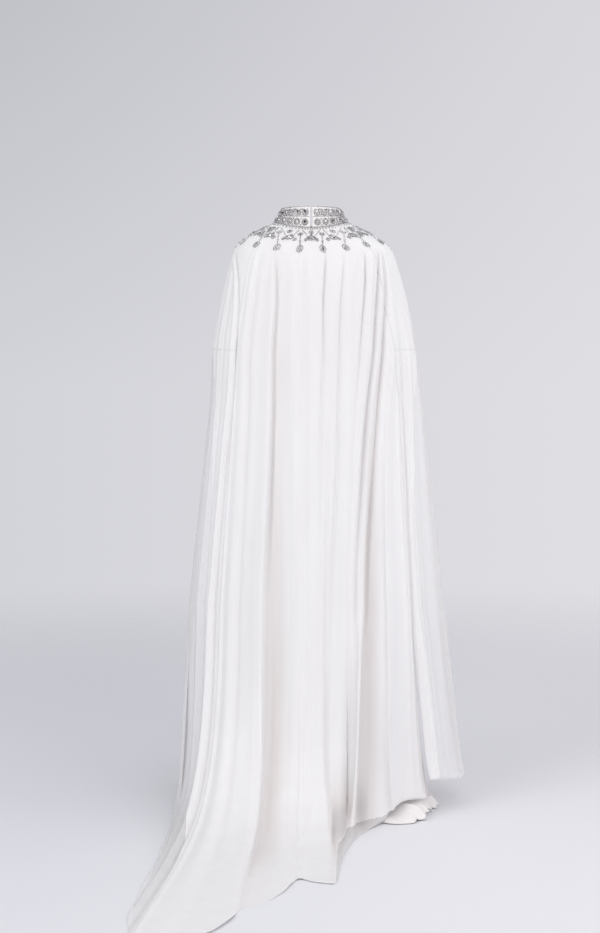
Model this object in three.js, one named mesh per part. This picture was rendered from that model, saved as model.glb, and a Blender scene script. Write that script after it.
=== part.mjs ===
// White abaya: a sheer outer layer with wing sleeves and a train over an opaque
// under-dress, with a beaded stand collar, a beaded yoke and hanging drops.
// Millimetres, +Z up. The front faces -Y and the back +Y. The origin is where the
// garment rests on the shoulders, at the middle of the neck.

import * as THREE from "three";

// Rows of numbers as objects with the named columns
function table(columns, rows) {
  const names = columns.split(" ");
  return rows.map((row) => Object.fromEntries(names.map((name, i) => [name, row[i]])));
}

// Driving sizes
const MOUNT_HEIGHT = 1450; // from the floor to the origin
const SHEER_WALL = 1.2;
const DRESS_WALL = 1.5;
const SEAM_GAP = 0.36; // between two pieces at a seam
const LIFT = 0.9; // from a panel to what lies on it

// Sections of the sheer layer, from the neck down to the knee. Heights are above the
// floor at the centre back, the sides and the centre front; widths and depths are from
// the middle, left being the wearer's left, +X; square is the superellipse exponent.
const SHEER_RINGS = table("ring backH sideH frontH left right back front square", [
  [0, 1466, 1484, 1432, 94, 94, 76, 80, 2.0],
  [1, 1448, 1466, 1405, 130, 131, 98, 100, 2.1],
  [2, 1424, 1446, 1372, 166, 168, 116, 120, 2.3],
  [3, 1388, 1414, 1332, 195, 204, 130, 136, 2.5],
  [4, 1340, 1362, 1286, 210, 221, 139, 146, 2.5],
  [5, 1260, 1280, 1226, 229, 244, 147, 150, 2.4],
  [6, 1158, 1164, 1150, 249, 270, 152, 146, 2.4],
  [7, 1040, 1040, 1040, 256, 286, 156, 148, 2.35],
  [8, 890, 890, 890, 271, 302, 163, 162, 2.3],
  [9, 710, 710, 710, 290, 320, 174, 184, 2.25],
  [10, 520, 520, 520, 309, 340, 190, 208, 2.2],
]);
const ELBOW = 6;
const KNEE = 10;
const HEM = 16;

// From the knee a trailing thread line swings out to the hem: the share of the way in
// plan that a row has gone, and the share of the height that it has left.
const SWING = table("row out left", [
  [10, 0, 1],
  [11, 0.03, 0.7],
  [12, 0.09, 0.42],
  [13, 0.2, 0.2],
  [14, 0.36, 0.07],
  [15, 0.62, 0.012],
  [16, 1, 0],
]);

const TRAIL = { from: 90, to: 420 }; // ways from the knee to the hem in plan
const LYING = { from: 13, to: 15, lift: 7 }; // rows over which the cloth comes to lie on the floor
const GROOVE_LIMIT = 24; // depth of the deepest groove where the cloth hangs
const FLOOR_SHARE = 0.8; // least share of the wall that stands above the floor

// Hems in plan: the angle of a thread line round from the centre back, positive towards
// the wearer's left, where it ends, and how high above the floor.
const HEM_LINES = {
  train: table("angle x y h", [
    [-46, -290, 150, 40],
    [-40, -240, 180, 44],
    [-34, -200, 194, 36],
    [-28, -164, 208, 6],
    [-20, -105, 312, 0],
    [-14, -62, 520, 0],
    [-9, -50, 680, 0],
    [-4, -4, 684, 0],
    [1, 28, 704, 0],
    [8, 68, 805, 0],
    [14, 112, 880, 0],
    [19, 150, 912, 0],
    [22, 172, 990, 0],
    [28, 215, 1070, 0],
    [36, 285, 1112, 0],
    [46, 362, 1080, 0],
    [54, 378, 965, 0],
    [64, 366, 745, 0],
    [74, 352, 545, 0],
    [84, 346, 370, 0],
    [94, 340, 200, 0],
    [106, 332, 30, 4],
    [120, 304, -130, 14],
  ]),
  wingRight: table("angle x y h", [
    [-120, -318, -190, 52],
    [-105, -372, -112, 66],
    [-90, -390, -30, 78],
    [-70, -384, 40, 84],
    [-56, -350, 105, 90],
    [-46, -297, 152, 94],
  ]),
  frontLeft: table("angle x y h", [
    [120, 292, -185, 14],
    [132, 240, -236, 14],
    [146, 180, -285, 12],
    [160, 108, -316, 12],
    [174, 46, -328, 12],
  ]),
  frontRight: table("angle x y h", [
    [-174, -46, -328, 12],
    [-160, -108, -316, 12],
    [-146, -180, -285, 12],
    [-132, -240, -236, 14],
    [-120, -292, -190, 14],
  ]),
};

// Folds of the sheer layer, one row each. The crest lies at these angles at the
// shoulder, elbow, knee and hem; right and left are its half widths in degrees; top and
// low are its height at the elbow and at the hem, negative for a groove.
const SHEER_FOLDS = table("shoulder elbow knee hem right left top low", [
  [42.5, 42.5, 42, 42, 2.6, 2.8, -6, -8],
  [39, 39, 38, 38, 3, 3, 3, 9],
  [36, 35, 34, 34, 3, 3, -4, -7],
  [23, 23, 21.5, 22.5, 3.6, 11, 9, 24],
  [17, 17, 15, 16.5, 6, 3.6, -7, -16],
  [8, 8, 8, 8, 3, 4, 3, 12],
  [4, 4, 4, 3.5, 2, 2, -2, -5],
  [-2, 0.5, 0.5, 0, 3, 3, 3, 8],
  [-6, -3.5, -3, -3, 2.2, 2.2, -5, -5],
  [-18, -12, -7, -6, 2.4, 2.4, -4, -5],
  [-31, -23, -14.5, -10, 3.4, 6, 8, 20],
  [-36, -28.5, -21, -17, 7, 3.6, -8, -20],
  [-41, -35, -32, -32, 5, 4.5, 6, 13],
  [-43.2, -42.6, -42, -41.5, 2.4, 2.4, -5, -8],
  [55, 56, 57, 58, 4, 5, 4, 13],
  [66, 66, 68, 70, 5, 4, 3, 12],
  [79, 79, 80, 82, 5, 6, 3, 11],
  [91, 90, 91, 92, 4, 4, 3, 10],
  [101, 99, 100, 101, 4, 4, 2, 9],
  [-55, -54, -54, -54, 4, 4, 3, 11],
  [-69, -69, -68, -67, 5, 5, 4, 12],
  [-82, -82, -81, -80, 6, 5, 3, 10],
  [-92, -91, -91, -91, 4, 4, 3, 11],
  [-101, -100, -100, -100, 4, 4, 2, 9],
  [150, 158, 151, 148, 4, 4, 4, 13],
  [162, 166, 163, 161, 4, 4, 4, 14],
  [-149, -158, -151, -147, 4, 4, 4, 14],
  [-161, -166, -162, -160, 4, 4, 4, 13],
]);
const FOLD_START = 2.7; // folds begin below this row
const FOLD_ROWS = { shoulder: 3, elbow: 6, knee: 10, hem: 16 };

// Sections of the under-dress, from the neck to the hem that lies on the floor
const DRESS_RINGS = table("ring backH sideH frontH left right back front square", [
  [0, 1464.4, 1482.4, 1430.4, 93.2, 93.2, 75.2, 79, 2.0],
  [1, 1440, 1456, 1396, 121, 121, 91, 92, 2.1],
  [2, 1414, 1434, 1362, 148, 148, 105, 108, 2.3],
  [3, 1378, 1394, 1328, 156, 156, 110, 118, 2.4],
  [4, 1322, 1330, 1296, 150, 150, 110, 124, 2.4],
  [5, 1258, 1262, 1250, 138, 138, 108, 122, 2.3],
  [6, 1180, 1180, 1176, 128, 128, 102, 112, 2.2],
  [7, 1080, 1080, 1080, 126, 126, 98, 106, 2.1],
  [8, 950, 950, 950, 160, 160, 114, 118, 2.1],
  [9, 770, 770, 770, 196, 198, 130, 136, 2.1],
  [10, 550, 550, 550, 226, 232, 144, 152, 2.1],
  [11, 300, 300, 300, 256, 266, 160, 172, 2.1],
  [12, 110, 110, 110, 276, 290, 176, 190, 2.1],
  [13, 22, 22, 22, 284, 304, 184, 200, 2.1],
  [14, 2, 2, 2, 290, 318, 190, 212, 2.1],
]);
// Two waves of folds round the skirt, with their turns in radians and heights
const DRESS_FOLDS = {
  many: { count: 9, turn: 0.7, height: 5.4 },
  few: { count: 5, turn: 2.1, height: 2.7 },
  start: 8,
  full: 12,
  inward: 4,
};
const ARMHOLE = { top: 2.25, bottom: 5, depth: 34, fullness: 0.7 }; // rings, and degrees from the side
const DRESS_ROWS = [0, 0.6, 1.2, 1.8, 2.25, 2.7, 3.25, 3.9, 4.5, 5, 6, 7, 8, 9, 10, 11, 12, 13, 14];

// Sections of a sleeve of the under-dress down the arm: the middle's place out from the
// centre, back and above the floor; lean, the degrees by which the section's outer end
// tips from straight up; pitch, those by which its back tips down; and its half sizes.
const ARM_SECTIONS = table("out back h lean pitch long broad", [
  [163, 3, 1324, 17, 0, 62, 58],
  [171, 5, 1288, 36, 0, 50, 52],
  [179, 8, 1248, 56, 0, 43, 47],
  [186, 11, 1200, 75, 0, 41, 45],
  [192, 12, 1148, 86, 8, 41, 44],
  [198, 4, 1094, 90, 42, 41, 46],
  [198, -50, 1070, 90, 76, 40, 42],
  [190, -120, 1075, 90, 90, 39, 40],
  [174, -188, 1090, 90, 98, 38, 38],
  [150, -250, 1106, 90, 100, 37, 37],
]);
const RIGHT_ARM_OUT = 8; // the right elbow is held a little further out
const RIGHT_ARM_FULL = 4; // from this section on

const COLLAR_RINGS = table("ring backH sideH frontH left right back front square", [
  [0, 1466.8, 1484.8, 1432.8, 93.6, 93.6, 75.6, 79.6, 2.0],
  [1, 1494, 1500, 1456, 84, 84, 68, 72, 2.0],
  [2, 1524, 1520, 1482, 74, 74, 62, 65, 2.0],
]);
const COLLAR_WALL = 2.4;
const COLLAR_SLIT = 1.9; // degrees each side of the centre back
const COLLAR_STONES = { columns: 26, rows: 2, spans: 3, height: 1.6 };

// The yoke and its drops share their places round the neck. Rows are those of the sheer
// sections, other sizes millimetres.
const YOKE = {
  rows: [0.12, 0.55, 1.0, 1.45, 1.85],
  wall: 1.4,
  scallop: 0.16,
  stones: 18,
  spans: 4,
  stoneRow: 1.45,
  height: 2.2,
};
const DROP = {
  row: 2.36,
  halfLength: 0.3,
  halfWidth: 8.5,
  rim: 1.6,
  height: 4,
  points: 8,
  mouth: 0.1, // half turns left open at the top, for the strand
  strand: 1.3,
  strandTop: 2.02,
  strandFoot: 0.86, // in half lengths up from the middle
};
const SHOULDER_LINE = {
  angle: 90,
  from: 2.03,
  to: 3.1,
  halfWidth: 3.5,
  neck: 0.45, // width and height between two beads, as a share
  rim: 0.8,
  height: 2.6,
  beads: 6,
  clear: 5, // degrees to each side with no drop
};

const COLOURS = {
  sheer: { color: 0xf1f1f4, roughness: 0.85, metalness: 0 },
  dress: { color: 0xe9e5e2, roughness: 0.8, metalness: 0 },
  beads: { color: 0xb4b6bc, roughness: 0.25, metalness: 0.7 },
};

// Curves through the tables

// Value of one column at t, on a smooth curve that never overshoots a row
function along(table, by, column, t) {
  const last = table.length - 1;
  if (t <= table[0][by]) return table[0][column];
  if (t >= table[last][by]) return table[last][column];
  let i = 0;
  while (table[i + 1][by] < t) i += 1;
  const slope = (j) => (table[j + 1][column] - table[j][column]) / (table[j + 1][by] - table[j][by]);
  const tangent = (j) => {
    if (j === 0) return slope(0);
    if (j === last) return slope(last - 1);
    const [a, b] = [slope(j - 1), slope(j)];
    return a * b <= 0 ? 0 : (2 * a * b) / (a + b);
  };
  const span = table[i + 1][by] - table[i][by];
  const s = (t - table[i][by]) / span;
  const [p0, p1] = [table[i][column], table[i + 1][column]];
  const [m0, m1] = [tangent(i) * span, tangent(i + 1) * span];
  return (
    p0 * (1 + 2 * s) * (1 - s) ** 2 + m0 * s * (1 - s) ** 2 + p1 * s * s * (3 - 2 * s) + m1 * s * s * (s - 1)
  );
}

function smoothStep(from, to, t) {
  const s = Math.min(1, Math.max(0, (t - from) / (to - from)));
  return s * s * (3 - 2 * s);
}

// A point of a section at an angle round from the centre back
function ringPoint(rings, angle, ring) {
  const at = (column) => along(rings, "ring", column, ring);
  const sin = Math.sin(THREE.MathUtils.degToRad(angle));
  const cos = Math.cos(THREE.MathUtils.degToRad(angle));
  const power = 2 / at("square");
  const width = at(sin >= 0 ? "left" : "right");
  const depth = at(cos >= 0 ? "back" : "front");
  const x = Math.sign(sin) * Math.abs(sin) ** power * width;
  const y = Math.sign(cos) * Math.abs(cos) ** power * depth;
  const height = at("sideH") * sin * sin + at(cos >= 0 ? "backH" : "frontH") * cos * cos;
  return new THREE.Vector3(x, y, height - MOUNT_HEIGHT);
}

// The sheer layer

function foldHeight(angle, row) {
  let height = 0;
  for (const fold of SHEER_FOLDS) {
    const track = Object.entries(FOLD_ROWS).map(([name, at]) => ({ at, angle: fold[name] }));
    const away = angle - along(track, "at", "angle", row);
    const reach = away < 0 ? fold.right : fold.left;
    if (Math.abs(away) >= reach) continue;
    const depth = fold.top + (fold.low - fold.top) * smoothStep(ELBOW, HEM - 2, row);
    height += depth * (0.5 + 0.5 * Math.cos((Math.PI * away) / reach));
  }
  return height * smoothStep(FOLD_START, ELBOW - 1, row);
}

function sheerBase(hemLine, angle, row) {
  if (row <= KNEE) return ringPoint(SHEER_RINGS, angle, row);
  const foot = ringPoint(SHEER_RINGS, angle, KNEE);
  const end = (column) => along(hemLine, "angle", column, angle);
  const left = along(SWING, "row", "left", row);
  // a short way falls straight, and a long one trails
  const trail = smoothStep(TRAIL.from, TRAIL.to, Math.hypot(end("x") - foot.x, end("y") - foot.y));
  const out = (1 - trail) * (1 - left) + trail * along(SWING, "row", "out", row);
  const hemZ = end("h") - MOUNT_HEIGHT;
  return new THREE.Vector3(
    foot.x + (end("x") - foot.x) * out,
    foot.y + (end("y") - foot.y) * out,
    hemZ + (foot.z - hemZ) * left,
  );
}

const NORMAL_STEP = { degrees: 0.8, rows: 0.12 };
const SEAM_STEP = { degrees: 0.1, rows: 0.05 };

// Unit normal of a surface given as point(angle, row), facing away from the body
function normalOf(point, angle, row) {
  const { degrees: da, rows: dr } = NORMAL_STEP;
  const across = point(angle + da, row).sub(point(angle - da, row));
  const down = point(angle, row + dr).sub(point(angle, row - dr));
  return across.cross(down).normalize();
}

function sheerMiddle(hemLine) {
  const base = (angle, row) => sheerBase(hemLine, angle, row);
  return (angle, row) => {
    const point = base(angle, row);
    const lying = smoothStep(LYING.from, LYING.to, row);
    const lift = foldHeight(angle, row) + lying * LYING.lift;
    const lowest = -GROOVE_LIMIT * (1 - lying);
    point.addScaledVector(normalOf(base, angle, row), Math.max(lift, lowest));
    return point;
  };
}

// Walls

// A closed wall between two grids of points, joined along their edges. A ring joins its
// last column to its first.
function wallGeometry(outer, inner, ring = false) {
  const rows = outer.length;
  const columns = outer[0].length;
  const positions = [];
  for (const point of [outer, inner].flat(2)) positions.push(...point.toArray());
  const layer = rows * columns;
  const faces = [];
  const quad = (a, b, c, d) => faces.push(a, b, c, a, c, d);
  const at = (side, r, c) => side * layer + r * columns + (c % columns);
  const spans = ring ? columns : columns - 1;
  for (let r = 0; r < rows - 1; r += 1) {
    for (let c = 0; c < spans; c += 1) {
      quad(at(0, r, c), at(0, r + 1, c), at(0, r + 1, c + 1), at(0, r, c + 1));
      quad(at(1, r, c), at(1, r, c + 1), at(1, r + 1, c + 1), at(1, r + 1, c));
    }
  }
  for (let c = 0; c < spans; c += 1) {
    quad(at(0, 0, c), at(0, 0, c + 1), at(1, 0, c + 1), at(1, 0, c));
    quad(at(0, rows - 1, c + 1), at(0, rows - 1, c), at(1, rows - 1, c), at(1, rows - 1, c + 1));
  }
  if (!ring) {
    const end = columns - 1;
    for (let r = 0; r < rows - 1; r += 1) {
      quad(at(0, r + 1, 0), at(0, r, 0), at(1, r, 0), at(1, r + 1, 0));
      quad(at(0, r, end), at(0, r + 1, end), at(1, r + 1, end), at(1, r, end));
    }
  }
  return facingOut(positions, faces);
}

// An indexed geometry whose faces point out of the solid
function facingOut(positions, faces) {
  const corner = (i) => new THREE.Vector3().fromArray(positions, 3 * i);
  let volume = 0;
  for (let i = 0; i < faces.length; i += 3) {
    volume += corner(faces[i]).dot(corner(faces[i + 1]).cross(corner(faces[i + 2])));
  }
  if (volume < 0) {
    for (let i = 0; i < faces.length; i += 3) [faces[i + 1], faces[i + 2]] = [faces[i + 2], faces[i + 1]];
  }
  const geometry = new THREE.BufferGeometry();
  geometry.setAttribute("position", new THREE.Float32BufferAttribute(positions, 3));
  geometry.setIndex(faces);
  geometry.computeVertexNormals();
  return geometry;
}

// How far half a seam gap is in rows or in degrees, square to the seam, at a point
function halfGap(middle, angle, row) {
  const { degrees: da, rows: dr } = SEAM_STEP;
  const across = middle(angle + da, row).sub(middle(angle - da, row)).divideScalar(2 * da);
  const down = middle(angle, row + dr).sub(middle(angle, row - dr)).divideScalar(2 * dr);
  const area = across.clone().cross(down).length();
  return {
    rows: (0.5 * SEAM_GAP * across.length()) / area,
    degrees: (0.5 * SEAM_GAP * down.length()) / area,
  };
}

// A panel between two edges, each an angle at every row, its ends drawn in by half a
// seam gap. Thickness goes half out and half in, and never below the floor.
function panelGrids(middle, rows, columns, wall, fromEdge, toEdge, trimTop, trimBottom) {
  const outer = [];
  const inner = [];
  rows.forEach((nominal, r) => {
    const [start, stop] = [fromEdge(nominal), toEdge(nominal)];
    const rowGap = halfGap(middle, (start + stop) / 2, nominal).rows;
    let row = nominal;
    if (r === 0 && trimTop) row += rowGap;
    if (r === rows.length - 1 && trimBottom) row -= rowGap;
    const first = start + halfGap(middle, start, row).degrees;
    const last = stop - halfGap(middle, stop, row).degrees;
    const outerLine = [];
    const innerLine = [];
    for (const share of columns) {
      const angle = first + (last - first) * share;
      const point = middle(angle, row);
      const normal = normalOf(middle, angle, row);
      const out = point.clone().addScaledVector(normal, wall / 2);
      const within = point.clone().addScaledVector(normal, -wall / 2);
      within.z = Math.max(within.z, -MOUNT_HEIGHT);
      const standing = row > LYING.from ? FLOOR_SHARE * wall * Math.abs(normal.z) : -wall;
      out.z = Math.max(out.z, within.z + standing);
      outerLine.push(out);
      innerLine.push(within);
    }
    outer.push(outerLine);
    inner.push(innerLine);
  });
  return [outer, inner];
}

function evenly(count) {
  return Array.from({ length: count + 1 }, (_, i) => i / count);
}

const garment = new THREE.Group();

function addMesh(name, geometry, finish) {
  const mesh = new THREE.Mesh(geometry, new THREE.MeshStandardMaterial(COLOURS[finish]));
  mesh.name = name;
  garment.add(mesh);
}

// Sheer panels. All share these rows, so that their edges meet along every seam.
const SHEER_ROWS = [0, 0.5, 1, 1.5, 2, 2.5, 3, 3.5, 4, 5, 6, 7, 8, 9, 10, 11, 12, 13, 14, 15, 16];
const aboveElbow = SHEER_ROWS.filter((row) => row <= ELBOW);
const belowElbow = SHEER_ROWS.filter((row) => row >= ELBOW);
const SPANS = { back: 50, sleeve: 15, front: 9, dress: 18 };
const BACK_EDGE = 46;
const FRONT_EDGE = 174;

// The front seam of the sleeve ends at the armhole, and below it the forearm comes out
// between the front panel's side edge and the wing's front edge.
const ARM_SLIT = table("row wing front", [
  [4, 120, 120],
  [5, 113, 134],
  [6, 103, 153],
  [7, 101, 155],
  [8, 102, 153],
  [10, 104, 146],
  [16, 107, 138],
]);
const wingEdge = (row) => along(ARM_SLIT, "row", "wing", row);
const frontEdge = (row) => along(ARM_SLIT, "row", "front", row);

function addPanel(name, hemLine, rows, spans, fromEdge, toEdge, trimTop, trimBottom) {
  const middle = sheerMiddle(hemLine);
  const grids = panelGrids(middle, rows, evenly(spans), SHEER_WALL, fromEdge, toEdge, trimTop, trimBottom);
  addMesh(name, wallGeometry(...grids), "sheer");
}

addPanel("cape_back", HEM_LINES.train, SHEER_ROWS, SPANS.back, () => -BACK_EDGE, () => BACK_EDGE);
for (const [side, sign, wing, front] of [
  ["left", 1, HEM_LINES.train, HEM_LINES.frontLeft],
  ["right", -1, HEM_LINES.wingRight, HEM_LINES.frontRight],
]) {
  const edges = (near, far) => (sign > 0 ? [near, far] : [(row) => -far(row), (row) => -near(row)]);
  const sleeveEdges = edges(() => BACK_EDGE, wingEdge);
  const frontEdges = edges(frontEdge, () => FRONT_EDGE);
  addPanel(`upper_sleeve_${side}`, wing, aboveElbow, SPANS.sleeve, ...sleeveEdges, false, true);
  addPanel(`wing_${side}`, wing, belowElbow, SPANS.sleeve, ...sleeveEdges, true, false);
  addPanel(`cape_front_${side}`, front, SHEER_ROWS, SPANS.front, ...frontEdges);
}

// Under-dress

function dressMiddle(angle, ring) {
  const point = ringPoint(DRESS_RINGS, angle, ring);
  const grow = smoothStep(DRESS_FOLDS.start, DRESS_FOLDS.full, ring);
  const at = THREE.MathUtils.degToRad(angle);
  const wave = ({ count, turn, height }) => height * Math.sin(count * at + turn);
  const lift = wave(DRESS_FOLDS.many) + wave(DRESS_FOLDS.few) - DRESS_FOLDS.inward;
  const out = new THREE.Vector3(point.x, point.y, 0).normalize();
  return point.addScaledVector(out, grow * lift);
}

function armholeEdge(ring) {
  const { top, bottom, depth, fullness } = ARMHOLE;
  if (ring <= top || ring >= bottom) return 90;
  return 90 - depth * Math.sin((Math.PI * (ring - top)) / (bottom - top)) ** fullness;
}

function addDress() {
  const dressPanel = (name, fromEdge, toEdge) => {
    const grids = panelGrids(dressMiddle, DRESS_ROWS, evenly(SPANS.dress), DRESS_WALL, fromEdge, toEdge);
    addMesh(name, wallGeometry(...grids), "dress");
  };
  dressPanel("dress_back", (ring) => -armholeEdge(ring), armholeEdge);
  dressPanel("dress_front", (ring) => 180 - armholeEdge(ring), (ring) => 180 + armholeEdge(ring));
}
addDress();

// Sleeves of the under-dress. The first ring follows the armhole's edge, just inside it,
// and the rest are ovals across the arm's line.
const SLEEVE_INSET = { degrees: 1.2, top: 0.06, bottom: 0.04 };

function addSleeve(side, sign) {
  const holeRows = DRESS_ROWS.filter((row) => row > ARMHOLE.top && row < ARMHOLE.bottom);
  const inset = (row) => armholeEdge(row) + SLEEVE_INSET.degrees;
  const loop = [
    { angle: 90, row: ARMHOLE.top + SLEEVE_INSET.top },
    ...holeRows.map((row) => ({ angle: inset(row), row })),
    { angle: 90, row: ARMHOLE.bottom - SLEEVE_INSET.bottom },
    ...holeRows.toReversed().map((row) => ({ angle: 180 - inset(row), row })),
  ];
  const outer = [[]];
  const inner = [[]];
  for (const { angle, row } of loop) {
    const point = dressMiddle(sign * angle, row);
    const normal = normalOf(dressMiddle, sign * angle, row);
    outer[0].push(point.clone().addScaledVector(normal, DRESS_WALL / 2));
    inner[0].push(point.clone().addScaledVector(normal, -DRESS_WALL / 2));
  }
  ARM_SECTIONS.forEach((section, i) => {
    const extra = sign < 0 ? RIGHT_ARM_OUT * Math.min(1, i / RIGHT_ARM_FULL) : 0;
    const centre = new THREE.Vector3(sign * (section.out + extra), section.back, section.h - MOUNT_HEIGHT);
    const lean = THREE.MathUtils.degToRad(section.lean);
    const pitch = THREE.MathUtils.degToRad(section.pitch);
    const top = new THREE.Vector3(sign * Math.sin(lean), 0, Math.cos(lean));
    const back = new THREE.Vector3(0, Math.cos(pitch), -Math.sin(pitch));
    outer.push([]);
    inner.push([]);
    loop.forEach((_, j) => {
      const turn = (2 * Math.PI * j) / loop.length;
      const place = (grid, wall) => {
        const up = Math.cos(turn) * (section.long - wall);
        const aside = Math.sin(turn) * (section.broad - wall);
        grid.at(-1).push(centre.clone().addScaledVector(top, up).addScaledVector(back, aside));
      };
      place(outer, 0);
      place(inner, DRESS_WALL);
    });
  });
  addMesh(`dress_sleeve_${side}`, wallGeometry(outer, inner, true), "dress");
}
addSleeve("left", 1);
addSleeve("right", -1);

// Beaded stand collar, slit at the centre back, with stones raised in its outer face
function addCollar() {
  const middle = (angle, ring) => ringPoint(COLLAR_RINGS, angle, ring);
  const spans = COLLAR_STONES.columns * COLLAR_STONES.spans;
  const rows = evenly(2 * COLLAR_STONES.rows).map((share) => share * COLLAR_RINGS.at(-1).ring);
  const outer = [];
  const inner = [];
  rows.forEach((ring, r) => {
    outer.push([]);
    inner.push([]);
    for (let c = 0; c <= spans; c += 1) {
      const angle = COLLAR_SLIT + ((360 - 2 * COLLAR_SLIT) * c) / spans;
      const point = middle(angle, ring);
      const normal = normalOf(middle, angle, ring).negate();
      const onStone = r % 2 === 1 && c % COLLAR_STONES.spans !== 0;
      const raised = onStone ? COLLAR_STONES.height : 0;
      outer.at(-1).push(point.clone().addScaledVector(normal, raised));
      inner.at(-1).push(point.clone().addScaledVector(normal, -COLLAR_WALL));
    }
  });
  addMesh("collar", wallGeometry(outer, inner), "beads");
}
addCollar();

// What lies on the sheer layer

// A point over the sheer panels, which are flat between their rows and columns
function overSheer(angle, row, lift) {
  const middle = sheerMiddle(HEM_LINES.train);
  const i = Math.max(0, SHEER_ROWS.findIndex((value) => value > row) - 1);
  const [r0, r1] = [SHEER_ROWS[i], SHEER_ROWS[i + 1]];
  const share = (row - r0) / (r1 - r0);
  const point = middle(angle, r0).lerp(middle(angle, r1), share);
  return point.addScaledVector(normalOf(middle, angle, row), SHEER_WALL / 2 + lift);
}

// Angle of a share of the way round the drops' row, measured along the cloth
const ROUND = [{ share: 0, angle: 0, length: 0 }];
for (let angle = 1; angle <= 360; angle += 1) {
  const step = ringPoint(SHEER_RINGS, angle, DROP.row).distanceTo(ringPoint(SHEER_RINGS, angle - 1, DROP.row));
  ROUND.push({ angle, length: ROUND.at(-1).length + step });
}
for (const place of ROUND) place.share = place.length / ROUND.at(-1).length;
const angleAt = (share) => along(ROUND, "share", "angle", share);

function addYoke() {
  const spans = YOKE.stones * YOKE.spans;
  const outer = [];
  const inner = [];
  for (const row of YOKE.rows) {
    outer.push([]);
    inner.push([]);
    for (let c = 0; c < spans; c += 1) {
      const angle = angleAt(c / spans);
      const stone = Math.sin((Math.PI * (c % YOKE.spans)) / YOKE.spans) ** 2;
      const edge = row === YOKE.rows.at(-1) ? YOKE.scallop * (2 * stone - 1) : 0;
      const raised = row === YOKE.stoneRow ? YOKE.height * stone : 0;
      inner.at(-1).push(overSheer(angle, row + edge, LIFT));
      outer.at(-1).push(overSheer(angle, row + edge, LIFT + YOKE.wall + raised));
    }
  }
  addMesh("yoke", wallGeometry(outer, inner, true), "beads");
}
addYoke();

// A hanging drop: a domed oval under a short strand, laid over the panel
function addDrop(name, angle) {
  const perDegree = overSheer(angle + 0.5, DROP.row, 0).distanceTo(overSheer(angle - 0.5, DROP.row, 0));
  const strandFoot = DROP.row - DROP.strandFoot * DROP.halfLength;
  const rim = [
    { across: -DROP.strand, row: DROP.strandTop },
    { across: -DROP.strand, row: strandFoot },
  ];
  for (const share of evenly(DROP.points)) {
    const turn = Math.PI * (DROP.mouth + 2 * (1 - DROP.mouth) * share);
    rim.push({
      across: -DROP.halfWidth * Math.sin(turn),
      row: DROP.row - DROP.halfLength * Math.cos(turn),
    });
  }
  rim.push({ across: DROP.strand, row: strandFoot });
  rim.push({ across: DROP.strand, row: DROP.strandTop });
  const place = ({ across, row }, lift) => overSheer(angle + across / perDegree, row, lift);
  const positions = [];
  const push = (point) => positions.push(...point.toArray());
  rim.forEach((p) => push(place(p, LIFT)));
  rim.forEach((p) => push(place(p, LIFT + DROP.rim)));
  push(place({ across: 0, row: DROP.row }, LIFT));
  push(place({ across: 0, row: DROP.row }, LIFT + DROP.height));
  const count = rim.length;
  const faces = [];
  for (let i = 0; i < count; i += 1) {
    const next = (i + 1) % count;
    faces.push(i, next, next + count, i, next + count, i + count);
  }
  // the strand's two quads, then fans over the oval
  faces.push(count - 1, 1, 0, count - 1, count - 2, 1);
  faces.push(count, count + 1, 2 * count - 1, count + 1, 2 * count - 2, 2 * count - 1);
  for (let i = 1; i < count - 1; i += 1) {
    const next = i === count - 2 ? 1 : i + 1;
    faces.push(2 * count, next, i);
    faces.push(2 * count + 1, i + count, next + count);
  }
  addMesh(name, facingOut(positions, faces), "beads");
}
let drops = 0;
for (let i = 0; i < YOKE.stones; i += 1) {
  const angle = angleAt((i + 0.5) / YOKE.stones);
  const onShoulder = Math.abs(Math.abs(180 - angle) - SHOULDER_LINE.angle) < SHOULDER_LINE.clear;
  if (onShoulder) continue; // the beaded shoulder line hangs there
  drops += 1;
  addDrop(`drop_${String(drops).padStart(2, "0")}`, angle);
}

// Beaded line along each shoulder, from the yoke to the shoulder's end
function addShoulderLine(side, sign) {
  const outer = [];
  const inner = [];
  const rows = 2 * SHOULDER_LINE.beads + 1;
  for (let r = 0; r < rows; r += 1) {
    const row = SHOULDER_LINE.from + ((SHOULDER_LINE.to - SHOULDER_LINE.from) * r) / (rows - 1);
    const centre = overSheer(sign * SHOULDER_LINE.angle, row, 0);
    const perDegree = centre.distanceTo(overSheer(sign * SHOULDER_LINE.angle + 1, row, 0));
    const bead = r % 2 === 1 ? 1 : SHOULDER_LINE.neck;
    outer.push([]);
    inner.push([]);
    for (const across of [-1, 0, 1]) {
      const shift = (across * bead * SHOULDER_LINE.halfWidth) / perDegree;
      const angle = sign * SHOULDER_LINE.angle + shift;
      const dome = across === 0 ? SHOULDER_LINE.height * bead : SHOULDER_LINE.rim;
      inner.at(-1).push(overSheer(angle, row, LIFT));
      outer.at(-1).push(overSheer(angle, row, LIFT + dome));
    }
  }
  addMesh(`shoulder_line_${side}`, wallGeometry(outer, inner), "beads");
}
addShoulderLine("left", 1);
addShoulderLine("right", -1);

export default garment;
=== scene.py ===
# Looks of the white abaya: sheer layer, under-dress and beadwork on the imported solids.
# Sizes are in millimetres, and the tables' heights are above the floor. Angles are in
# degrees round from the centre back, positive to the wearer's left. Rows run from the neck
# (0) over the elbow seam and the knee to the hem. Meshes, light and camera are in metres.

import math
from collections import namedtuple

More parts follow.
